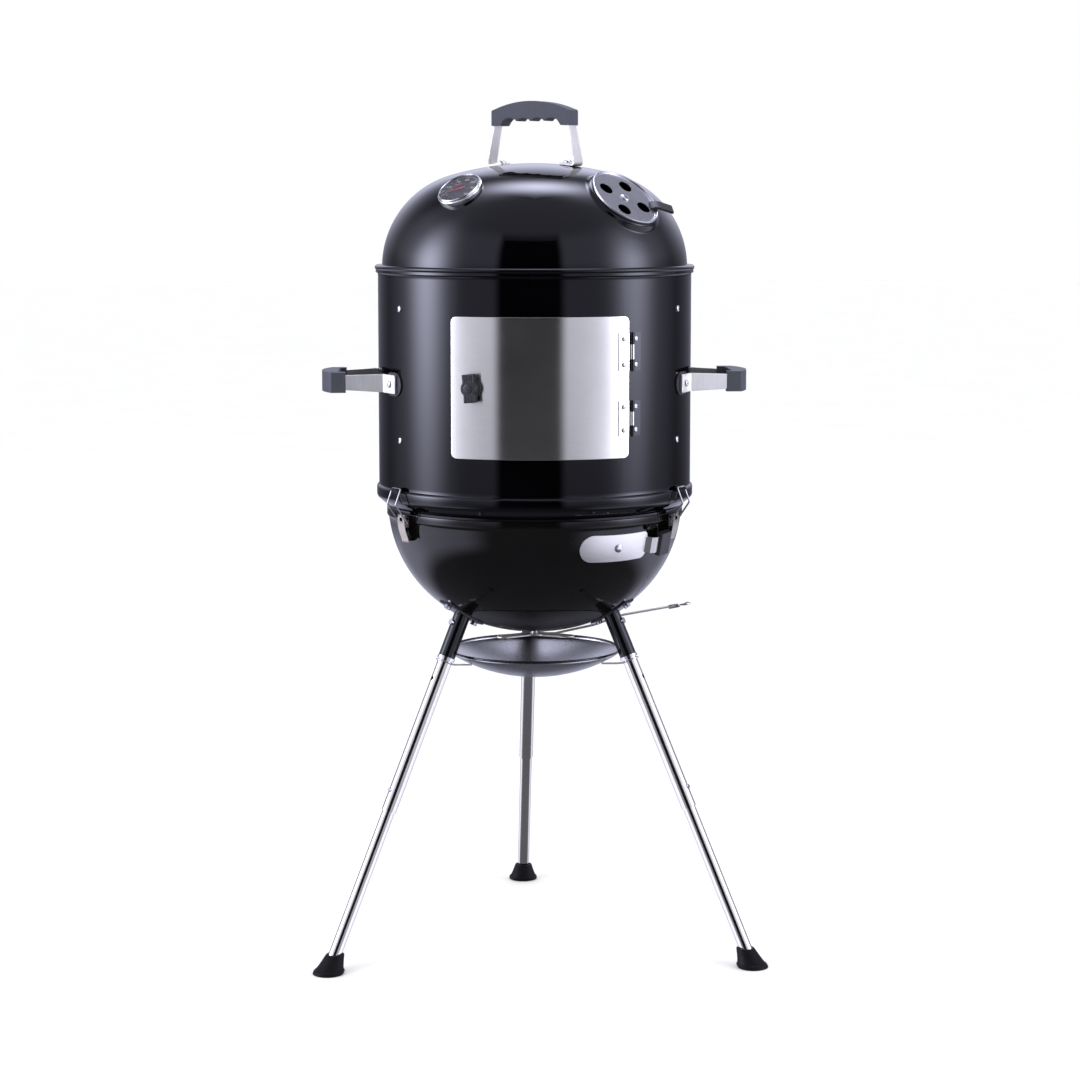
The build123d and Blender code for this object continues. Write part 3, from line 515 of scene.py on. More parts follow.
def pressSeat(piece, matrix, radius, softness, depth):
    inverse = matrix.inverted()
    for vertex in piece.data.vertices:
        local = inverse @ vertex.co
        if abs(local.z) > lidShape["domeDepth"] * mm:
            continue
        t = (radius + softness - hypot(local.x, local.y) / mm) / (2 * softness)
        t = min(max(t, 0.0), 1.0)
        t = t * t * (3 - 2 * t)
        if t > 0:
            local.z += (depth * mm - local.z) * t
            vertex.co = matrix @ local


def holePosts(matrix, shape, low, high):
    posts = []
    for i in range(4):
        angle = radians(shape["holeAngle"] + 90 * i)
        post = postPiece("hole", shape["holeRadius"], low, high, 40)
        shift = moved(shape["holeCircle"] * cos(angle), shape["holeCircle"] * sin(angle), 0)
        posts.append(place(post, matrix @ shift))
    return posts


def makeLid():
    shape = lidShape
    outline = [(shape["radius"], shape["bottom"])] + domeArcs(shape, 1)
    shell = turnOutline("lidShell", outline, shape["steps"])
    reach = shape["seatRadius"] + shape["seatSoftness"]
    refineNear(shell, damperPlane, reach + 12, 1)
    refineNear(shell, damperPlane, reach + 4, 1)
    for vertex in shell.data.vertices:
        snapToDome(vertex, shape)
    pressSeat(shell, damperPlane, shape["seatRadius"], shape["seatSoftness"], shape["seatDepth"])
    giveThickness(shell, shape["sheet"])
    cutAway(shell, holePosts(damperPlane, shape, -20, 12))
    roundEdges(shell, 0.4, 2, 50)
    finishPiece(shell, "lid", blackEnamel, ["lid_shell"], 40)


makeLid()
print("lid ready")


# barrel: one rolled sheet with a bead, a top flange, the lid's ledge and the spigot for the bowl

barrelShape = {
    "radius": 225.0, "sheet": 1.5, "bottom": 628.0, "top": 993.0, "spigot": 209.0, "flange": 229.5,
    "bead": 228.3, "ledge": 213.0, "ledgeTop": 974.0, "stop": 212.1,
}
doorShape = {
    "low": 732.0, "high": 927.0, "start": -33.65, "end": 32.0, "radius": 226.0, "sheet": 1.2, "corner": 7.5,
    "lap": 6.0,
}


def barrelOutline():
    s = barrelShape
    r = s["radius"]
    inner = r - s["sheet"]
    outside = [
        (s["spigot"], s["bottom"]), (s["spigot"], 645.0), (s["stop"], 645.2), (s["stop"], 646.9),
        (212.4, 648.4), (224.0, 658.6), (226.4, 660.6), (227.8, 662.6), (s["bead"], 665.0),
        (s["bead"], 674.6), (227.9, 676.6), (226.6, 678.2), (225.3, 679.2), (r, 680.4), (r, 684.0),
        (r, 976.0), (r, 979.5), (r + 0.5, 981.2),
        (r + 2.2, 982.0), (228.2, 982.4),
    ]
    roll = arcPoints((s["flange"] - 3.6, s["top"] - 3.6), 3.6, -55, 175, 14)
    inside = [
        (inner, 986.0), (inner, s["ledgeTop"] + 1), (inner - 1, s["ledgeTop"]), (s["ledge"], s["ledgeTop"]),
        (s["ledge"], s["ledgeTop"] - s["sheet"]), (inner, s["ledgeTop"] - s["sheet"]), (inner, 680.0),
        (225.4, 677.4), (226.7, 674.4), (226.7, 665.2), (225.3, 661.8), (211.0, 649.2), (207.5, 646.6),
        (207.5, s["bottom"]),
    ]
    return outside + roll + inside


def roundedRectangle(width, height, corner, count=6):
    points = []
    for centreX, centreY, start in ((1, 1, 0), (-1, 1, 90), (-1, -1, 180), (1, -1, 270)):
        centre = (centreX * (width / 2 - corner), centreY * (height / 2 - corner))
        points += arcPoints(centre, corner, start, start + 90, count)
    return points


def doorWindow(lap):
    # rounded block that the door's edge leaves open by its lap
    s = doorShape
    middle = (s["start"] + s["end"]) / 2
    width = 2 * s["radius"] * sin(radians((s["end"] - s["start"]) / 2)) - 2 * lap
    block = platePiece("window", roundedRectangle(width, s["high"] - s["low"] - 2 * lap, 6.0), 150, 300)
    return place(block, aroundBarrel(middle, (s["low"] + s["high"]) / 2))


def makeBarrel():
    shell = turnOutline("barrelShell", barrelOutline(), 192, True)
    cutAway(shell, [doorWindow(doorShape["lap"])])
    roundEdges(shell, 0.35, 2, 48)
    finishPiece(shell, "stand", blackEnamel, ["barrel_shell"], 32)


makeBarrel()


# bowl: the same turned arcs upside down, with a rolled rim and the vent's slots

bowlShape = {
    "radius": 212.5, "kneeRadius": 185.6, "kneeHeight": 652.7, "crownRadius": 257.8, "rim": 645.0,
    "rimRadius": 214.0, "rimLow": 634.0, "sheet": 1.5, "shaft": 5.2,
}
ventPlane = jointPlane("vent_turn", -1.0)
ventSlots = {"reach": 39.0, "rise": 11.0, "length": 24.0, "height": 12.0, "stopX": 50.0, "stopY": 24.0}
ashSlots = {"reach": 38.0, "length": 46.0, "width": 18.0}


def slotOutline(length, height, count=8):
    radius = height / 2
    half = length / 2 - radius
    right = arcPoints((half, 0), radius, -90, 90, count)
    return right + arcPoints((-half, 0), radius, 90, 270, count)


def bowlWall(inset):
    # knee and crown arcs below the rim
    arcs = domeArcs(bowlShape, -1, inset)
    return [p for p in arcs if p[1] < bowlShape["rimLow"] - 0.5]


def makeBowl():
    s = bowlShape
    inner = s["radius"] - s["sheet"]
    outer, top, low = s["rimRadius"], s["rim"], s["rimLow"]
    rim = [
        (inner, top - 0.6), (inner + 0.6, top), (outer - 1.0, top), (outer - 0.3, top - 0.4),
        (outer, top - 1.4), (outer, low + 1.4), (outer - 0.4, low + 0.5), (outer - 1.3, low),
    ]
    outline = rim + bowlWall(0) + bowlWall(s["sheet"])[::-1]
    shell = turnOutline("bowlShell", outline, 176, True)
    cutters = []
    for side in (-1, 1):
        slot = platePiece("slot", slotOutline(ventSlots["length"], ventSlots["height"]), -20, 6)
        shift = moved(side * ventSlots["reach"], side * ventSlots["rise"], 0)
        cutters.append(place(slot, ventPlane @ shift))
    for i in range(3):
        slot = platePiece("slot", slotOutline(ashSlots["length"], ashSlots["width"]), 440, 490)
        cutters.append(place(slot, turned(30 + 120 * i) @ moved(ashSlots["reach"], 0, 0)))
    cutters.append(postPiece("shaft", s["shaft"], 440, 490, 24))
    cutAway(shell, cutters)
    roundEdges(shell, 0.3, 2, 60)
    stop = turnOutline("ventStop", [(0, -8), (3.2, -8), (3.2, -4.2), (2.4, -2.9), (0, -2.5)], 24)
    place(stop, ventPlane @ moved(ventSlots["stopX"], ventSlots["stopY"], 0))
    shell = joinPieces([shell, stop], "bowlShell")
    finishPiece(shell, "stand", bowlEnamel, ["bowl_shell", "bowl_base"], 40)


makeBowl()
print("barrel and bowl ready")


# door: a curved sheet spun about the axis, with rounded corners and rounded edges

def makeDoor():
    s = doorShape
    a = radians(s["start"])
    span = radians(s["end"] - s["start"])
    r = s["radius"]
    x, y = r * sin(a), -r * cos(a)
    piece = drawLine("doorPanel", [(x, y, s["low"]), (x, y, s["high"])])
    editAll(piece)
    bpy.ops.mesh.spin(steps=60, angle=-span, center=(0, 0, 0), axis=(0, 0, 1))
    leaveEdit()
    cleanUp(piece)
    giveThickness(piece, s["sheet"], 1.0)
    middle = (s["start"] + s["end"]) / 2
    width = 2 * r * sin(span / 2) - 0.1
    outline = roundedRectangle(width, s["high"] - s["low"] - 0.1, s["corner"], 8)
    blank = platePiece("doorBlank", outline, 150, 300)
    place(blank, aroundBarrel(middle, (s["low"] + s["high"]) / 2))
    cutAway(piece, [blank], "INTERSECT")
    roundEdges(piece, 0.45, 3, 50)
    finishPiece(piece, "door", doorSteel, ["door_panel"], 32)


makeDoor()
print("door ready")


# shared shaping for the small parts

def bevelWhere(piece, width, segments, test):
    # edges whose two ends both pass the test, in millimetres
    editAll(piece)
    bpy.ops.mesh.select_all(action="DESELECT")
    leaveEdit()
    points = [v.co / mm for v in piece.data.vertices]
    for edge in piece.data.edges:
        edge.select = all(test(points[i]) for i in edge.vertices)
    bpy.ops.object.mode_set(mode="EDIT")
    bpy.ops.mesh.select_mode(type="EDGE")
    bpy.ops.mesh.bevel(offset=width * mm, segments=segments, affect="EDGES", clamp_overlap=True)
    bpy.ops.mesh.select_mode(type="VERT")
    leaveEdit()
    return piece


def boxPiece(name, size, centre):
    deselectAll()
    bpy.ops.mesh.primitive_cube_add(size=mm, location=Vector(centre) * mm, scale=size)
    piece = bpy.context.object
    piece.name = name
    return settle(piece)


uprightFace = Matrix.Rotation(pi / 2, 4, "X")  # a plate drawn flat stands up, its thickness along Y


def makeScrewHead(name, radius, height, shank, depth, recess=True):
    # domed head on its seat at zero, with the recess cut in, and the shank below
    outline = [(0, -depth), (shank * 0.8, -depth), (shank, -depth + 0.8), (shank, 0), (radius, 0)]
    for angle in (0, 18, 36, 54, 72):
        a = radians(angle)
        outline.append((radius * cos(a), height * (0.3 + 0.7 * sin(a))))
    outline.append((0, height))
    screw = turnOutline(name, outline, 28)
    if recess:
        slot = radius * 0.17
        for angle in (0, 90):
            blade = boxPiece("blade", (radius * 1.05, slot, height), (0, 0, height * 0.92))
            cutAway(screw, [place(blade, turned(angle + 20))])
    return screw


def repeatAt(model, matrices, name):
    copies = [place(copyPiece(model), matrix) for matrix in matrices]
    bpy.data.objects.remove(model, do_unlink=True)
    return joinPieces(copies, name)


# damper: a dished disc with a rolled bright rim, four holes, its rivet and the tab

damperShape = {
    "radius": 52.5, "low": -2.75, "sheet": 1.2, "rim": 1.45, "tabAngle": -24.0, "tabHalf": 7.5,
    "tabStart": 41.0, "tabEnd": 77.0, "tabRise": 3.6, "tabTop": 8.0,
}


def makeDamper():
    s = damperShape
    r = s["radius"]
    top = s["low"] + s["sheet"]
    outline = [
        (0, s["low"]), (r - 1.2, s["low"]), (r - 0.5, s["low"] + 0.25), (r - 0.1, s["low"] + 0.9),
        (r, -1.0), (r, 0.5), (r - 0.35, 1.15), (r - 1.0, s["rim"]), (r - 1.9, 1.25), (r - 2.5, 0.6),
        (r - 2.9, -0.5), (r - 3.7, top + 0.3), (r - 4.8, top), (13.5, top), (12.4, top + 0.22), (0, top + 0.22),
    ]
    disc = turnOutline("damperDisc", outline, 96)
    place(disc, damperPlane)
    cutAway(disc, holePosts(damperPlane, lidShape, -12, 5))
    roundEdges(disc, 0.3, 2, 55)
    finishPiece(disc, "damper", damperMetal, ["damper_disc"], 35)

    rivet = turnOutline("damperRivet", [
        (0, -8.5), (5.6, -8.5), (6.0, -8.0), (6.0, -6.6), (3.0, -6.5), (3.0, -1.25), (6.5, -1.25),
        (6.5, -0.5), (6.0, 0.35), (4.6, 0.95), (2.4, 1.15), (0, 1.15),
    ], 32)
    place(rivet, damperPlane)
    finishPiece(rivet, "lid", screwSteel, ["damper_rivet"], 40)

    start, end, step, crest = s["tabStart"], s["tabEnd"], top + s["tabRise"], top + s["tabTop"]
    profile = [
        (start, top), (start + 8.4, top), (start + 8.4, step), (end - 1, step), (end, step + 1.4),
        (end - 1, crest), (start + 13, crest), (start + 5, crest - 2), (start, top + 2),
    ]
    tab = platePiece("damperTab", profile, -s["tabHalf"], s["tabHalf"])
    roundEdges(tab, 0.9, 3, 30)
    place(tab, damperPlane @ turned(s["tabAngle"]) @ uprightFace)
    finishPiece(tab, "damper", blackPlastic, ["damper_tab"], 40)


makeDamper()
print("damper ready")


# thermometer: bright bezel, black dial with a printed scale, pointer and domed glass

dialShape = {
    "bezel": 33.0, "window": 29.4, "dial": 30.3, "dialTop": 2.6, "print": 0.12, "startAngle": 210.0,
    "sweep": 240.0, "marks": 48, "numbers": ("50", "100", "150", "200", "250", "300", "350"),
    "numberCircle": 20.6, "numberSize": 5.4, "zoneOuter": 14.6, "zoneInner": 12.2, "zoneSweep": 110.0,
    "pointerTurn": 30.0,
}


def dialPoint(share, radius):
    angle = radians(dialShape["startAngle"] - dialShape["sweep"] * share)
    return radius * cos(angle), radius * sin(angle), angle


def makeDialPrint():
    s = dialShape
    printMiddle = s["dialTop"] + s["print"] / 2
    marks = []
    for i in range(s["marks"] + 1):
        long = i % 8 == 0
        x, y, angle = dialPoint(i / s["marks"], 26.4 if long else 27.2)
        mark = boxPiece("mark", (4.6 if long else 2.6, 0.9 if long else 0.5, s["print"]), (0, 0, 0))
        turn = Matrix.Rotation(angle, 4, "Z")
        marks.append(place(mark, thermometerPlane @ moved(x, y, printMiddle) @ turn))
    for i, number in enumerate(s["numbers"]):
        x, y, angle = dialPoint(i / (len(s["numbers"]) - 1), s["numberCircle"])
        deselectAll()
        bpy.ops.object.text_add(location=(0, 0, 0))
        label = bpy.context.object
        label.data.body = number
        label.data.size = s["numberSize"] * mm
        label.data.align_x = "CENTER"
        label.data.align_y = "CENTER"
        label.data.extrude = s["print"] / 2 * mm
        bpy.ops.object.convert(target="MESH")
        label = bpy.context.object
        marks.append(place(label, thermometerPlane @ moved(x, y, printMiddle)))
    marks = joinPieces(marks, "dialMarks")
    finishPiece(marks, "lid", printWhite, (), 30)

    zoneEnd = s["startAngle"] - s["zoneSweep"]
    band = arcPoints((0, 0), s["zoneOuter"], s["startAngle"], zoneEnd, 22)
    band += arcPoints((0, 0), s["zoneInner"], s["startAngle"], zoneEnd, 22)[::-1]
    zone = platePiece("dialZone", band, s["dialTop"], s["dialTop"] + s["print"])
    place(zone, thermometerPlane)
    finishPiece(zone, "lid", printRed, (), 30)


def makeThermometer():
    s = dialShape
    w = s["window"]
    b = s["bezel"]
    ring = turnOutline("thermometerBezel", [
        (b - 2.6, -5.5), (b, -5.5), (b, 2.4), (b - 0.25, 3.3), (b - 0.9, 3.8), (b - 1.5, 3.85),
        (b - 1.8, 4.3), (b - 1.8, 5.3), (b - 2.1, 6.3), (b - 2.7, 6.9), (b - 3.2, 6.9), (w + 0.1, 6.4),
        (w, 5.9), (w + 0.9, 5.85), (w + 0.9, 1.4), (b - 2.6, 1.2),
    ], 96, True)
    probe = turnOutline("probe", [
        (0, -70), (1.4, -69.4), (2.3, -67.5), (2.5, -65), (2.5, -8.6), (3.2, -8), (3.2, 1.2), (0, 1.2),
    ], 24)
    nut = roundEdges(postPiece("nut", 8.8, -10.7, -6.2, 6), 0.7, 2, 40)
    back = turnOutline("backPlate", [(0, 1.0), (w + 0.9, 1.0), (w + 0.9, 1.9), (0, 1.9)], 64)
    case = place(joinPieces([ring, probe, nut, back], "thermometerCase"), thermometerPlane)
    finishPiece(case, "lid", chrome, ["thermometer_case"], 30)

    dial = turnOutline("thermometerDial", [
        (0, 2.0), (s["dial"] - 0.3, 2.0), (s["dial"], 2.2), (s["dial"], 2.45),
        (s["dial"] - 0.3, s["dialTop"]), (0, s["dialTop"]),
    ], 64)
    place(dial, thermometerPlane)
    finishPiece(dial, "lid", dialBlack, ["thermometer_dial"], 30)
    makeDialPrint()

    edge = [(-21, 0.55), (-3, 1.5), (3, 1.7), (9, 2.2)]
    pointer = [(-24, 0)] + edge + [(x, -y) for x, y in reversed(edge)]
    blade = roundEdges(platePiece("pointer", pointer, 3.1, 3.7), 0.18, 2, 40)
    hub = turnOutline("hub", [(0, 3.05), (3.0, 3.05), (3.0, 3.9), (2.5, 4.25), (0, 4.35)], 28)
    needle = joinPieces([blade, hub], "thermometerNeedle")
    place(needle, thermometerPlane @ turned(s["pointerTurn"]))
    finishPiece(needle, "needle", printRed, ["thermometer_needle"], 35)

    glass = turnOutline("thermometerGlass", [
        (0, 4.9), (w + 0.8, 4.9), (w + 0.8, 5.75), (w - 1, 5.8), (22, 6.05), (12, 6.3), (0, 6.4),
    ], 64)
    place(glass, thermometerPlane)
    finishPiece(glass, "lid", dialGlass, ["thermometer_glass"], 40)


makeThermometer()
print("thermometer ready")


# handles: a bent flat bar on two feet and a moulded grip with finger hollows

handleShape = {
    "half": 62.0, "endTop": 21.0, "top": 34.6, "width": 29.0, "strap": 3.0, "strapX": 56.5, "strapZ": 15.0,
    "bend": 5.0, "hollow": 22.0, "hollowRise": 5.0, "lidTurn": -30.0, "lidHeight": 1190.0,
    "sideReach": 271.5, "sideHeight": 828.0, "footCircle": 228.9,
}
lidHandlePlane = moved(0, 0, handleShape["lidHeight"]) @ turned(handleShape["lidTurn"])
sideHandlePlanes = {}
for side, sign in (("left", -1), ("right", 1)):
    facing = Matrix(((0, 0, sign), (sign, 0, 0), (0, 1, 0))).to_4x4()
    sideHandlePlanes[side] = moved(sign * handleShape["sideReach"], 0, handleShape["sideHeight"]) @ facing


def offsetLine(points, distance):
    # each point moves square to the line by the distance
    line = []
    for i, point in enumerate(points):
        before = points[max(i - 1, 0)]
        after = points[min(i + 1, len(points) - 1)]
        along = (Vector(after) - Vector(before)).normalized()
        line.append((point[0] - along.y * distance, point[1] + along.x * distance))
    return line


def bandOutline(line, near, far):
    return offsetLine(line, near) + offsetLine(line, far)[::-1]


def gripOutline():
    s = handleShape
    rise = s["top"] - s["endTop"]
    radius = (s["half"] ** 2 + rise ** 2) / (2 * rise)
    reach = degrees(atan2(s["half"] - 6, radius - rise))
    arch = arcPoints((0, s["top"] - radius), radius, 90 + reach, 90 - reach, 26)
    left = [Vector((-s["half"], 0)), Vector((-s["half"], s["endTop"] + 0.6)), Vector(arch[0])]
    right = [Vector(arch[-1]), Vector((s["half"], s["endTop"] + 0.6)), Vector((s["half"], 0))]
    outline = [tuple(p) for p in roundCorners(left, 6.0, 5)] + arch[1:-1]
    outline += [tuple(p) for p in roundCorners(right, 6.0, 5)] + [(48, 0)]
    hollowRadius = ((s["hollow"] / 2) ** 2 + s["hollowRise"] ** 2) / (2 * s["hollowRise"])
    halfTurn = degrees(atan2(s["hollow"] / 2, hollowRadius - s["hollowRise"]))
    x = 44.0
    for i in range(4):
        centre = (x - s["hollow"] / 2, 6 + s["hollowRise"] - hollowRadius)
        outline += arcPoints(centre, hollowRadius, 90 - halfTurn, 90 + halfTurn, 8)[i > 0:]
        x -= s["hollow"]
    return outline + [(-48, 0)]


def makeGrip(name, matrix, body, node):
    s = handleShape
    half = s["width"] / 2
    grip = platePiece(name, gripOutline(), -half, half)
    place(grip, uprightFace)

    def onFace(p):
        return abs(abs(p.y) - half) < 0.01

    bevelWhere(grip, 6.5, 6, lambda p: onFace(p) and p.z > s["endTop"] + 1.5)
    bevelWhere(grip, 2.2, 4, lambda p: onFace(p) and p.z < 9.6 and abs(p.x) < 61)
    roundEdges(grip, 1.0, 3, 40)
    place(grip, matrix)
    finishPiece(grip, body, gripPlastic, [node], 50)


def makeStrap(name, matrix, body, node, feet, gripWidth, footWidth, footZ):
    s = handleShape
    left = [(-x, z) for x, z in feet]
    middle = [(-s["strapX"], s["strapZ"]), (s["strapX"], s["strapZ"])]
    path = [Vector((x, z)) for x, z in left + middle + feet[::-1]]
    line = [tuple(p) for p in roundCorners(path, s["bend"], 6)]
    strap = platePiece(name, bandOutline(line, s["strap"] / 2, -s["strap"] / 2), -0.5, 0.5)
    place(strap, uprightFace)
    for vertex in strap.data.vertices:
        share = min(max(vertex.co.z / mm / footZ, 0.0), 1.0)
        vertex.co.y *= gripWidth + (footWidth - gripWidth) * share
    roundEdges(strap, 0.55, 3, 50)
    place(strap, matrix)
    finishPiece(strap, body, strapSteel, [node], 35)


def sideFootPoint(angle):
    r = handleShape["footCircle"]
    return r * cos(radians(angle)), r * sin(radians(angle)) - handleShape["sideReach"]


def makeHandles():
    lidFeet = [(46.0, -53.6), (70.0, -56.9)]
    makeGrip("lidGrip", lidHandlePlane, "lid", "lid_handle_grip")
    makeStrap("lidStrap", lidHandlePlane, "lid", "lid_handle_strap", lidFeet, 21.0, 27.0, -50.9)
    sideFeet = [sideFootPoint(a) for a in (61.5, 66.25, 71.0)]
    for side, matrix in sideHandlePlanes.items():
        makeGrip(side + "Grip", matrix, "stand", "side_handle_grip_" + side)
        makeStrap(side + "Strap", matrix, "stand", "side_handle_strap_" + side, sideFeet, 20.0, 26.0,
                  sideFeet[2][1])


makeHandles()
print("handles ready")


# screws: one domed head cut once and repeated at each place

hingeHeights = (860.5, 896.0, 770.5, 802.5)
screwShape = {  # a head is its radius, height, shank radius and depth
    "strap": {"head": (4.5, 2.2, 2.5, 5), "reach": 225, "azimuths": (-60, 60, 180), "heights": (934, 750)},
    "hinge": {"head": (3.6, 1.8, 1.8, 4), "reach": 226.25, "azimuths": (34.9,), "heights": hingeHeights},
    "door": {"head": (3.6, 1.8, 1.8, 4), "reach": 228.45, "azimuths": (29.45,), "heights": hingeHeights},
    "handle": {
        "head": (5.0, 2.6, 2.5, 10), "reach": 230.6,
        "azimuths": (65.5, 114.5, -65.5, -114.5), "heights": (828,),
    },
    "boltHead": (6.0, 3.2, 3.0, 11.5), "nut": (6.1, -11.1, -6.6), "boltReach": 53.0, "boltHeight": 1138.1,
    "rivetHead": (6.0, 2.4, 2.5, 4), "clench": (5.5, -5.4, -3.6), "rivetSeat": 1.9,
}


def seatAt(azimuth, height, radius):
    return aroundBarrel(azimuth, height) @ moved(0, 0, radius)


def makeScrews():
    s = screwShape

    def screwsAt(kind, name):
        # a screw at every azimuth and height listed for its kind
        k = s[kind]
        seats = [seatAt(azimuth, z, k["reach"]) for azimuth in k["azimuths"] for z in k["heights"]]
        return repeatAt(makeScrewHead(name, *k["head"]), seats, name)

    both = [screwsAt("strap", "strapScrews"), screwsAt("hinge", "hingeScrews")]
    barrelScrews = joinPieces(both, "barrelScrews")
    finishPiece(barrelScrews, "stand", screwSteel, ["barrel_screws"], 40)
    doorScrews = screwsAt("door", "doorScrews")
    finishPiece(doorScrews, "door", screwSteel, ["door_hinge_screws"], 40)
    handleScrews = screwsAt("handle", "handleScrews")
    finishPiece(handleScrews, "stand", screwSteel, ["side_handle_screws"], 40)

    nut = roundEdges(postPiece("lidNut", *s["nut"], 6), 0.5, 2, 40)
    bolt = joinPieces([makeScrewHead("lidBolt", *s["boltHead"]), nut], "lidBolt")
    around = turned(handleShape["lidTurn"])
    seats = [around @ moved(side * s["boltReach"], 0, s["boltHeight"]) for side in (-1, 1)]
    lidBolts = repeatAt(bolt, seats, "lidBolts")
    finishPiece(lidBolts, "lid", screwSteel, ["lid_handle_bolts"], 40)

    ventHead = makeScrewHead("ventRivet", *s["rivetHead"], recess=False)
    clench = roundEdges(postPiece("clench", *s["clench"], 28), 0.5, 2, 40)
    rivet = place(joinPieces([ventHead, clench], "ventRivet"), ventPlane @ moved(0, 0, s["rivetSeat"]))
    finishPiece(rivet, "stand", screwSteel, ["bowl_vent_rivet"], 40)


makeScrews()
print("screws ready")


# knob: a round boss under a tall bar that swells at the middle, with ribs at its ends

knobShape = {
    "height": 830.0, "seat": 228.1, "boss": 13.5, "bossTop": 5.4, "bar": 8.4, "barEnd": 19.5, "waist": 11.6,
    "low": 4.2, "top": 17.0, "ribs": (-4.2, 0, 4.2), "rib": (1.1, 7.0, 1.2), "ribReach": 14.0, "turn": 5.0,
}


def makeKnob():
    s = knobShape
    joint = jointByName["knob_turn"]
    outwardAxis = Vector((joint["pos_m"][0], joint["pos_m"][1], 0)).normalized()
    azimuth = degrees(atan2(outwardAxis.x, -outwardAxis.y))
    plane = seatAt(azimuth, s["height"], s["seat"])
    boss = turnOutline("knobBoss", [
        (4.0, 0), (s["boss"] - 0.9, 0), (s["boss"], 0.8), (s["boss"], s["bossTop"] - 1.0),
        (s["boss"] - 0.7, s["bossTop"] - 0.2), (s["boss"] - 1.9, s["bossTop"]), (4.0, s["bossTop"]),
    ], 40, True)
    waist = arcPoints((0, 0), s["waist"], -46, 46, 12)
    half = [(s["bar"], -s["barEnd"])] + waist + [(s["bar"], s["barEnd"])]
    outline = half + [(-x, -y) for x, y in half]
    bar = platePiece("knobBar", outline, s["low"], s["top"])
    bevelWhere(bar, 2.2, 4, lambda p: abs(p.z - s["top"]) < 0.01)
    roundEdges(bar, 0.8, 2, 40)
    ribs = []
    for side in (-1, 1):
        for x in s["ribs"]:
            groove = boxPiece("groove", s["rib"], (x, side * s["ribReach"], s["top"]))
            ribs.append(roundEdges(groove, 0.25, 1, 40))
    cutAway(bar, ribs)
    cap = turnOutline("knobCap", [(0, 16.2), (7.0, 16.2), (7.0, 17.2), (6.2, 17.9), (0, 18.1)], 36)
    knob = place(joinPieces([boss, bar, cap], "doorKnob"), plane @ turned(s["turn"]))
    finishPiece(knob, "knob", blackPlastic, ["door_knob"], 40)


makeKnob()
print("knob ready")


# latches: a wire bail with rounded bends and a pressed lever with side cheeks and a stiffening rib

latchShape = {
    "bailPivot": (220, 632), "elbow": (240, 661), "bar": (231.5, 682.5), "bailY": 11.5, "endY": 7.8,
    "wire": 1.25, "bend": 2.6, "sheet": 1.2, "halfWidth": 9.2, "rib": 2.6,
    "spine": [
        (224.4, 645.5), (224.6, 640.0), (224.4, 634.0), (223.6, 627.5), (222.0, 621.0), (219.6, 614.6),
        (217.9, 610.0), (217.6, 607.6), (217.8, 606.0),
    ],
    "cheek": [
        (217.2, 627.5), (223.8, 627.5), (224.4, 634.0), (224.4, 645.0), (220.0, 644.0), (217.0, 641.5),
    ],
    "window": (8, 7.5, 5.0), "windowCentre": (224.5, 0, 638.5),
}


def makeLatches():
    s = latchShape
    y = s["bailY"]
    spine = s["spine"]
    for name, angle in legAngles.items():
        half = [(x, y, z) for x, z in (s["bailPivot"], s["elbow"], s["bar"])]
        other = [(x, -side, z) for x, side, z in reversed(half)]
        x, z = s["bailPivot"]
        path = [(x, s["endY"], z)] + half + other + [(x, -s["endY"], z)]
        bail = bentWire("latchBail", path, s["wire"], s["bend"], 16)
        place(bail, turned(angle))
        finishPiece(bail, "bail_" + name, plateWire, ["latch_bail_" + name], 50)

        outline = bandOutline(spine, s["sheet"] / 2, -s["sheet"] / 2)
        web = place(platePiece("leverWeb", outline, -s["halfWidth"], s["halfWidth"]), uprightFace)
        rib = platePiece("leverRib", bandOutline(spine[2:7], -1.3, -0.2), -s["rib"], s["rib"])
        place(rib, uprightFace)
        roundEdges(rib, 0.5, 2, 40)
        window = boxPiece("leverWindow", s["window"], s["windowCentre"])
        cutAway(web, [roundEdges(window, 0.8, 2, 40)])
        parts = [web, rib]
        for low in (-s["halfWidth"], s["halfWidth"] - s["sheet"]):
            parts.append(place(platePiece("cheek", s["cheek"], low, low + s["sheet"]), uprightFace))
        for part in parts:
            roundEdges(part, 0.3, 2, 50)
        lever = place(joinPieces(parts, "latchLever"), turned(angle))
        finishPiece(lever, "latch_" + name, latchSteel, ["latch_lever_" + name], 40)


makeLatches()
print("latches ready")


# feet: turned rubber cones with a lip, leaned along the leg

footShape = {
    "lean": 24.5, "circle": 349.0,
    "outline": [
        (0, 0), (20.6, 0), (21.6, 0.5), (22, 1.4), (22, 4.4), (21.5, 5.4), (20.4, 6.0), (19.6, 7.2),
        (17.6, 12), (15.6, 18), (14.0, 23.4), (13.2, 26.0), (12.5, 27.0), (11.0, 27.2), (9.3, 26.6),
        (9.2, 12.2), (0, 12.2),
    ],
}


def makeFeet():
    lean = tan(radians(footShape["lean"]))
    for name, angle in legAngles.items():
        foot = turnOutline("foot", footShape["outline"], 64)
        for vertex in foot.data.vertices:
            vertex.co.x -= lean * vertex.co.z
        place(foot, turned(angle) @ moved(footShape["circle"], 0, 0))
        finishPiece(foot, "leg_" + name, footRubber, ["foot_" + name], 40)


makeFeet()
print("feet ready")


# ash pan: a shallow pressed dish with its black rolled rim

panShape = {"radius": 124.0, "rim": 436.0, "bottom": 395.0, "sheet": 1.2, "bead": 1.8}


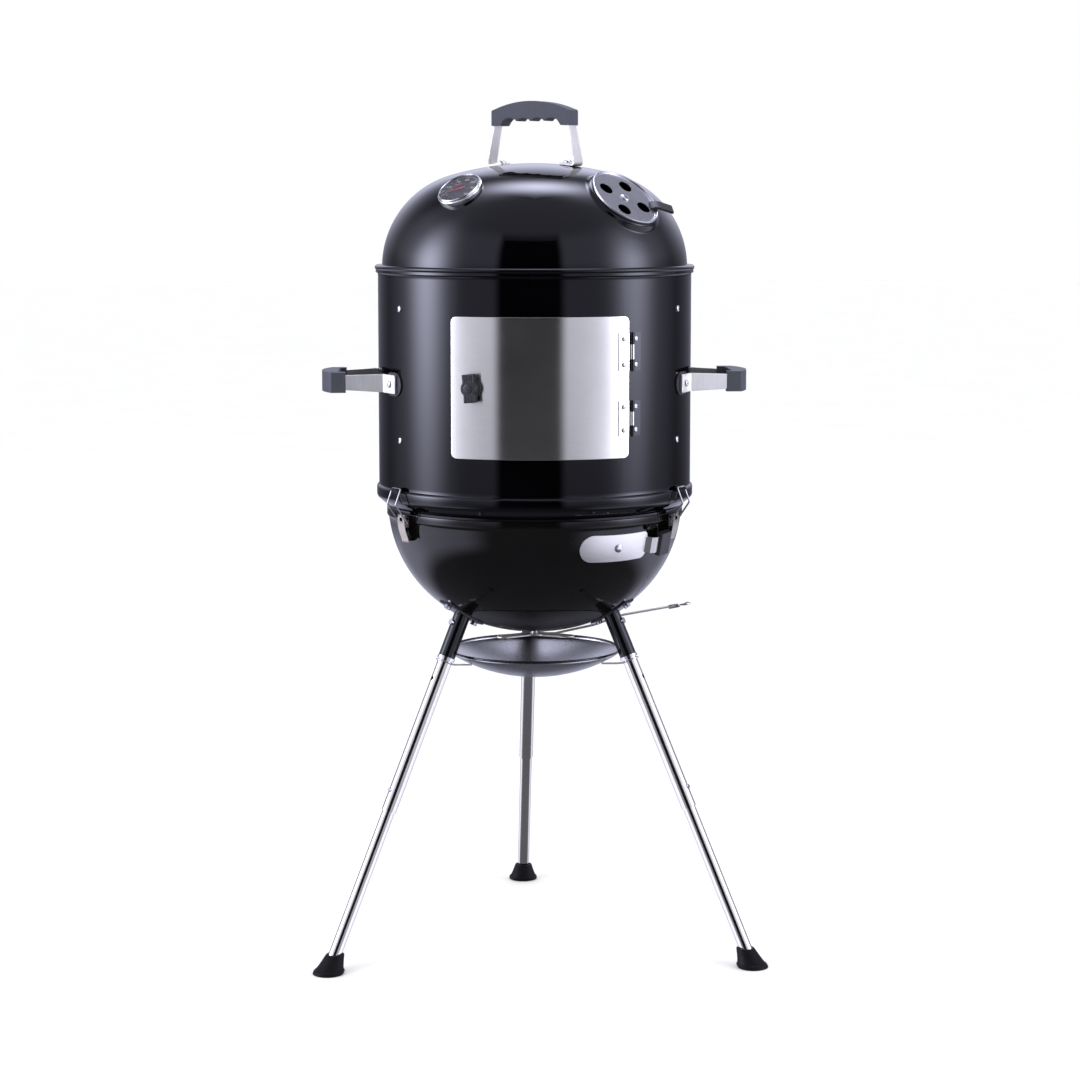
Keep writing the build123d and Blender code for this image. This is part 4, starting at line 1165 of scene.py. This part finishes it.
def makeAshPan():
    radius, rim, bottom, bead = (panShape[key] for key in ("radius", "rim", "bottom", "bead"))
    sag = rim - 6.0 - bottom
    dish = (radius ** 2 + sag ** 2) / (2 * sag)
    under = [(dish * sin(t), bottom + dish * (1 - cos(t))) for t in [radians(i) for i in range(0, 31)]]
    under = [p for p in under if p[0] < radius - 2.0] + [(radius - 0.6, rim - 6.0), (radius, rim - 4.8)]
    pan = turnOutline("ashPan", under + [(radius, rim - 2.6)], 120)
    giveThickness(pan, panShape["sheet"])
    roundEdges(pan, 0.3, 2, 50)
    finishPiece(pan, "stand", panSteel, ["ash_pan"], 35)
    roll = arcPoints((radius + 0.2, rim - bead), bead, -90, 270, 14)[:-1]
    edge = turnOutline("ashPanBead", roll, 120, True)
    finishPiece(edge, "stand", blackPaint, ["ash_pan"], 60)


makeAshPan()
print("ash pan ready")


# grates: round wires welded on a ring, over two cross wires

grateShape = {
    "ring": 2.9, "wire": 2.0, "pitch": 18.0, "shortest": 30.0, "cross": 2.2, "crossDrop": 3.2,
    "crossInset": 22.0,
}


def makeGrate(name, radius, height, node):
    s = grateShape
    deselectAll()
    bpy.ops.mesh.primitive_torus_add(
        major_radius=radius * mm, minor_radius=s["ring"] * mm, major_segments=96, minor_segments=12,
    )
    pieces = [bpy.context.object]
    count = int(radius / s["pitch"])
    for i in range(-count, count + 1):
        x = i * s["pitch"]
        half = sqrt(radius ** 2 - x ** 2)
        if half > s["shortest"]:
            pieces.append(bentWire("wire", [(x, -half, 0), (x, half, 0)], s["wire"], 0, 8))
    cross = sqrt(0.75) * radius - s["crossInset"]
    for side in (-1, 1):
        ends = [(x, side * radius / 2, -s["crossDrop"]) for x in (-cross, cross)]
        pieces.append(bentWire("cross", ends, s["cross"], 0, 8))
    grate = place(joinPieces(pieces, name), moved(0, 0, height))
    finishPiece(grate, "stand", plateWire, [node], 50)


makeGrate("upperGrate", 212.0, 950.0, "upper_grate")
makeGrate("lowerGrate", 212.0, 779.0, "lower_grate")
makeGrate("charcoalGrate", 177.0, 566.0, "charcoal_grate")
print("grates ready")


# sweeper end: a steel sleeve and a bright loop on the arm

sweeperShape = {
    "start": (196, 0, 493.2), "end": (214, 0, 496.3),
    "sleeve": [(0, 0), (2.0, 0), (2.9, 0.8), (3.1, 2.4), (3.0, 14), (2.6, 16.6), (1.6, 17.8), (0, 18.0)],
    "neck": (206, 0, 495.4), "loopCentre": (221, 0, 498.0), "loop": 6.6, "loopLean": 1.1, "wire": 1.2,
}


def makeSweeperEnd():
    s = sweeperShape
    along = (Vector(s["end"]) - Vector(s["start"])).normalized()
    sleeve = turnOutline("sweeperSleeve", s["sleeve"], 28)
    tilt = Vector((0, 0, 1)).rotation_difference(along).to_matrix().to_4x4()
    place(sleeve, moved(*s["start"]) @ tilt)
    finishPiece(sleeve, "sweeper", tubeSteel, ["sweeper_grip"], 40)
    line = [s["neck"]]
    for x, y in arcPoints((0, 0), 1.0, -170, 130, 12):
        line.append(Vector(s["loopCentre"]) + Vector((x * s["loop"], y * s["loop"], x * s["loopLean"])))
    ring = bentWire("sweeperLoop", line, s["wire"], 0, 12)
    finishPiece(ring, "sweeper", plateWire, ["sweeper_grip"], 60)


makeSweeperEnd()
print("sweeper ready")


# the parts that keep their frame shape take a finish

def giveFinish(material, *nodes):
    for name in nodes:
        piece = frame["nodes"][name]
        for materialSlot in piece.material_slots:
            materialSlot.material = material


giveFinish(blackPaint, "leg_sockets", "latch_bases", "latch_keepers", "barrel_hinge_leaves")
giveFinish(tubeSteel, "upper_legs")
giveFinish(screwSteel, "leg_collars", "socket_bolts", "door_tongue")
for name in legAngles:
    giveFinish(tubeSteel, "lower_leg_" + name)
    giveFinish(screwSteel, "leg_button_" + name)
giveFinish(blackEnamel, "water_pan")
giveFinish(plateWire, "ash_pan_clips")
giveFinish(strapSteel, "grate_straps", "sweeper_blades", "sweeper_lever")
giveFinish(doorSteel, "door_hinge_leaves")
giveFinish(ventSteel, "bowl_vent_plate")
giveFinish(blackPlastic, "side_handle_pads", "bowl_vent_grip")
print("finishes ready")


# studio: pale floor, soft boxes left and right, a dark card behind the camera

studio = {
    "floorSize": 60.0, "floorDark": (0.975, 0.975, 0.977), "floorLight": (0.992, 0.992, 0.993),
    "backdrop": (1.0, 1.0, 1.0), "lampColour": (0.95, 0.97, 1.0), "aim": (0, 0, 0.7),
    "key": {"azimuth": -48, "height": 2.6, "distance": 3.0, "size": (1.6, 1.6), "power": 36},
    "fill": {"azimuth": 62, "height": 2.0, "distance": 3.0, "size": (1.4, 1.8), "power": 20},
    "camera": {"place": (-0.2111, -3.9152, 1.0956), "tilt": 82.704, "turn": -3.2, "lens": 90.53},
    "leftBox": {"azimuth": -81, "elevation": 5, "width": 10.5, "height": 16, "strength": 12.4},
    "rightBox": {"azimuth": 81, "elevation": 5, "width": 10.5, "height": 15, "strength": 7.4},
    "backGlow": {"azimuth": 180, "elevation": 18, "width": 26, "height": 10, "strength": 1.3},
    "topBox": {"azimuth": 180, "elevation": 68, "width": 29, "height": 8.5, "strength": 13.5},
    "turn": 6.5, "room": 0.68, "floorSides": 1.5, "floorMiddle": 0.165, "tint": (0.81, 0.82, 1.05),
}


def makeFloor():
    deselectAll()
    bpy.ops.mesh.primitive_plane_add(size=studio["floorSize"], location=(0, 0, 0))
    floor = bpy.context.object
    floor.name = "studioFloor"
    kit = startMaterial("floorPaper")
    colourBetween(kit, grain(kit, 3.0, 3.0), studio["floorDark"], studio["floorLight"])
    roughnessBetween(kit, grain(kit, 8.0), 0.75, 0.85)
    kit["shader"].inputs["Specular IOR Level"].default_value = 0.1
    # polished parts see the studio's light through the floor
    glossy = addNode(kit, "LightPath", {}).outputs["Is Glossy Ray"]
    clear = addNode(kit, "BsdfTransparent", {}).outputs["BSDF"]
    mix = addNode(kit, "MixShader", {"Fac": glossy, 1: kit["shader"].outputs["BSDF"], 2: clear})
    kit["links"].new(mix.outputs["Shader"], kit["nodes"]["Material Output"].inputs["Surface"])
    floor.data.materials.append(kit["material"])


def makeWorld():
    world = bpy.data.worlds.new("studio")
    bpy.context.scene.world = world
    world.use_nodes = True
    nodes = world.node_tree.nodes
    kit = {"nodes": nodes, "links": world.node_tree.links}
    direction = addNode(kit, "TexCoord", {}).outputs["Generated"]
    split = addNode(kit, "SeparateXYZ", {"Vector": direction})
    x, y, z = (split.outputs[axis] for axis in "XYZ")
    around = combined(kit, "ARCTAN2", x, times(kit, y, -1.0))
    azimuth = plus(kit, times(kit, around, 180 / pi), studio["turn"])
    elevation = times(kit, combined(kit, "ARCSINE", z, 0.0), 180 / pi)
    sideways = combined(kit, "ABSOLUTE", azimuth, 0.0)
    fromBack = combined(kit, "SUBTRACT", 180.0, sideways)

    def offset(value, centre, width):
        gap = combined(kit, "DIVIDE", combined(kit, "SUBTRACT", value, centre), width)
        return times(kit, gap, gap)

    def glow(across, boxName, centre):
        box = studio[boxName]
        spread = plus(kit, offset(across, centre, box["width"]),
            offset(elevation, box["elevation"], box["height"]))
        fall = combined(kit, "EXPONENT", times(kit, spread, -0.5), 0.0)
        return times(kit, fall, box["strength"])

    def ramp(value, low, high, start, end):
        result = mapped(kit, value, low, high, start, end)
        result.node.interpolation_type = "SMOOTHSTEP"
        return result

    # the two side boxes, weaker below the horizon
    leftBox, rightBox = (glow(azimuth, name, studio[name]["azimuth"]) for name in ("leftBox", "rightBox"))
    low = times(kit, ramp(elevation, -8, 0, 0.22, 1.0), ramp(elevation, -24, -8, 0.35, 1.0))
    boxes = times(kit, plus(kit, leftBox, rightBox), low)
    behind = plus(kit, glow(fromBack, "backGlow", 0.0), glow(fromBack, "topBox", 0.0))

    # the dark card in front, with a soft top edge, and the room round it
    cardSide = ramp(sideways, 20, 28, 0.0, 1.0)
    cardTop = times(kit, ramp(elevation, 33, 35, 0.0, 1.0), ramp(elevation, 35, 47, 0.26, 1.0))
    card = combined(kit, "MAXIMUM", cardSide, cardTop)
    back = ramp(sideways, 104, 132, 1.0, 0.22)
    rise = times(kit, ramp(elevation, -2, 10, 1.0, 1.6), ramp(elevation, 30, 48, 1.0, 0.66))
    room = times(kit, rise, studio["room"], card, back, ramp(elevation, -14, -2, 0.0, 1.0))

    # the floor's light from below, strongest at the sides
    sideShare = times(
        kit, ramp(sideways, 30, 62, 0.0, 1.0), ramp(sideways, 110, 150, 1.0, 0.4),
        ramp(elevation, -40, -27, 0.0, 1.0),
    )
    floorTone = plus(kit, times(kit, sideShare, studio["floorSides"]), studio["floorMiddle"])
    floorGlow = times(kit, floorTone, ramp(elevation, -16, -6, 1.0, 0.0))
    total = plus(kit, boxes, behind, plus(kit, room, floorGlow))

    mirrored = nodes["Background"]
    mirrored.inputs["Color"].default_value = (*studio["tint"], 1)
    kit["links"].new(total, mirrored.inputs["Strength"])
    plain = addNode(kit, "Background", {"Color": (*studio["backdrop"], 1)})
    path = addNode(kit, "LightPath", {}).outputs
    reflected = combined(kit, "MAXIMUM", path["Is Glossy Ray"], path["Is Transmission Ray"])
    shaders = {1: plain.outputs["Background"], 2: mirrored.outputs["Background"]}
    mix = addNode(kit, "MixShader", {"Fac": reflected, **shaders})
    kit["links"].new(mix.outputs["Shader"], nodes["World Output"].inputs["Surface"])


def softBox(name):
    box = studio[name]
    a = radians(box["azimuth"])
    deselectAll()
    spot = (box["distance"] * sin(a), -box["distance"] * cos(a), box["height"])
    bpy.ops.object.light_add(type="AREA", location=spot)
    lamp = bpy.context.object
    lamp.name = name + "Box"
    lamp.data.shape = "RECTANGLE"
    lamp.data.size, lamp.data.size_y = box["size"]
    lamp.data.energy = box["power"]
    lamp.data.color = studio["lampColour"]
    lamp.visible_glossy = False
    lamp.rotation_euler = (Vector(studio["aim"]) - lamp.location).to_track_quat("-Z", "Y").to_euler()


def makeCamera():
    view = studio["camera"]
    deselectAll()
    bpy.ops.object.camera_add(
        location=view["place"], rotation=(radians(view["tilt"]), 0, radians(view["turn"])),
    )
    camera = bpy.context.object
    camera.name = "studioCamera"
    camera.data.lens = view["lens"]
    camera.data.sensor_width = 36.0
    bpy.context.scene.camera = camera


makeFloor()
makeWorld()
softBox("key")
softBox("fill")
makeCamera()
bpy.context.scene.view_settings.view_transform = "Standard"
print("studio ready")
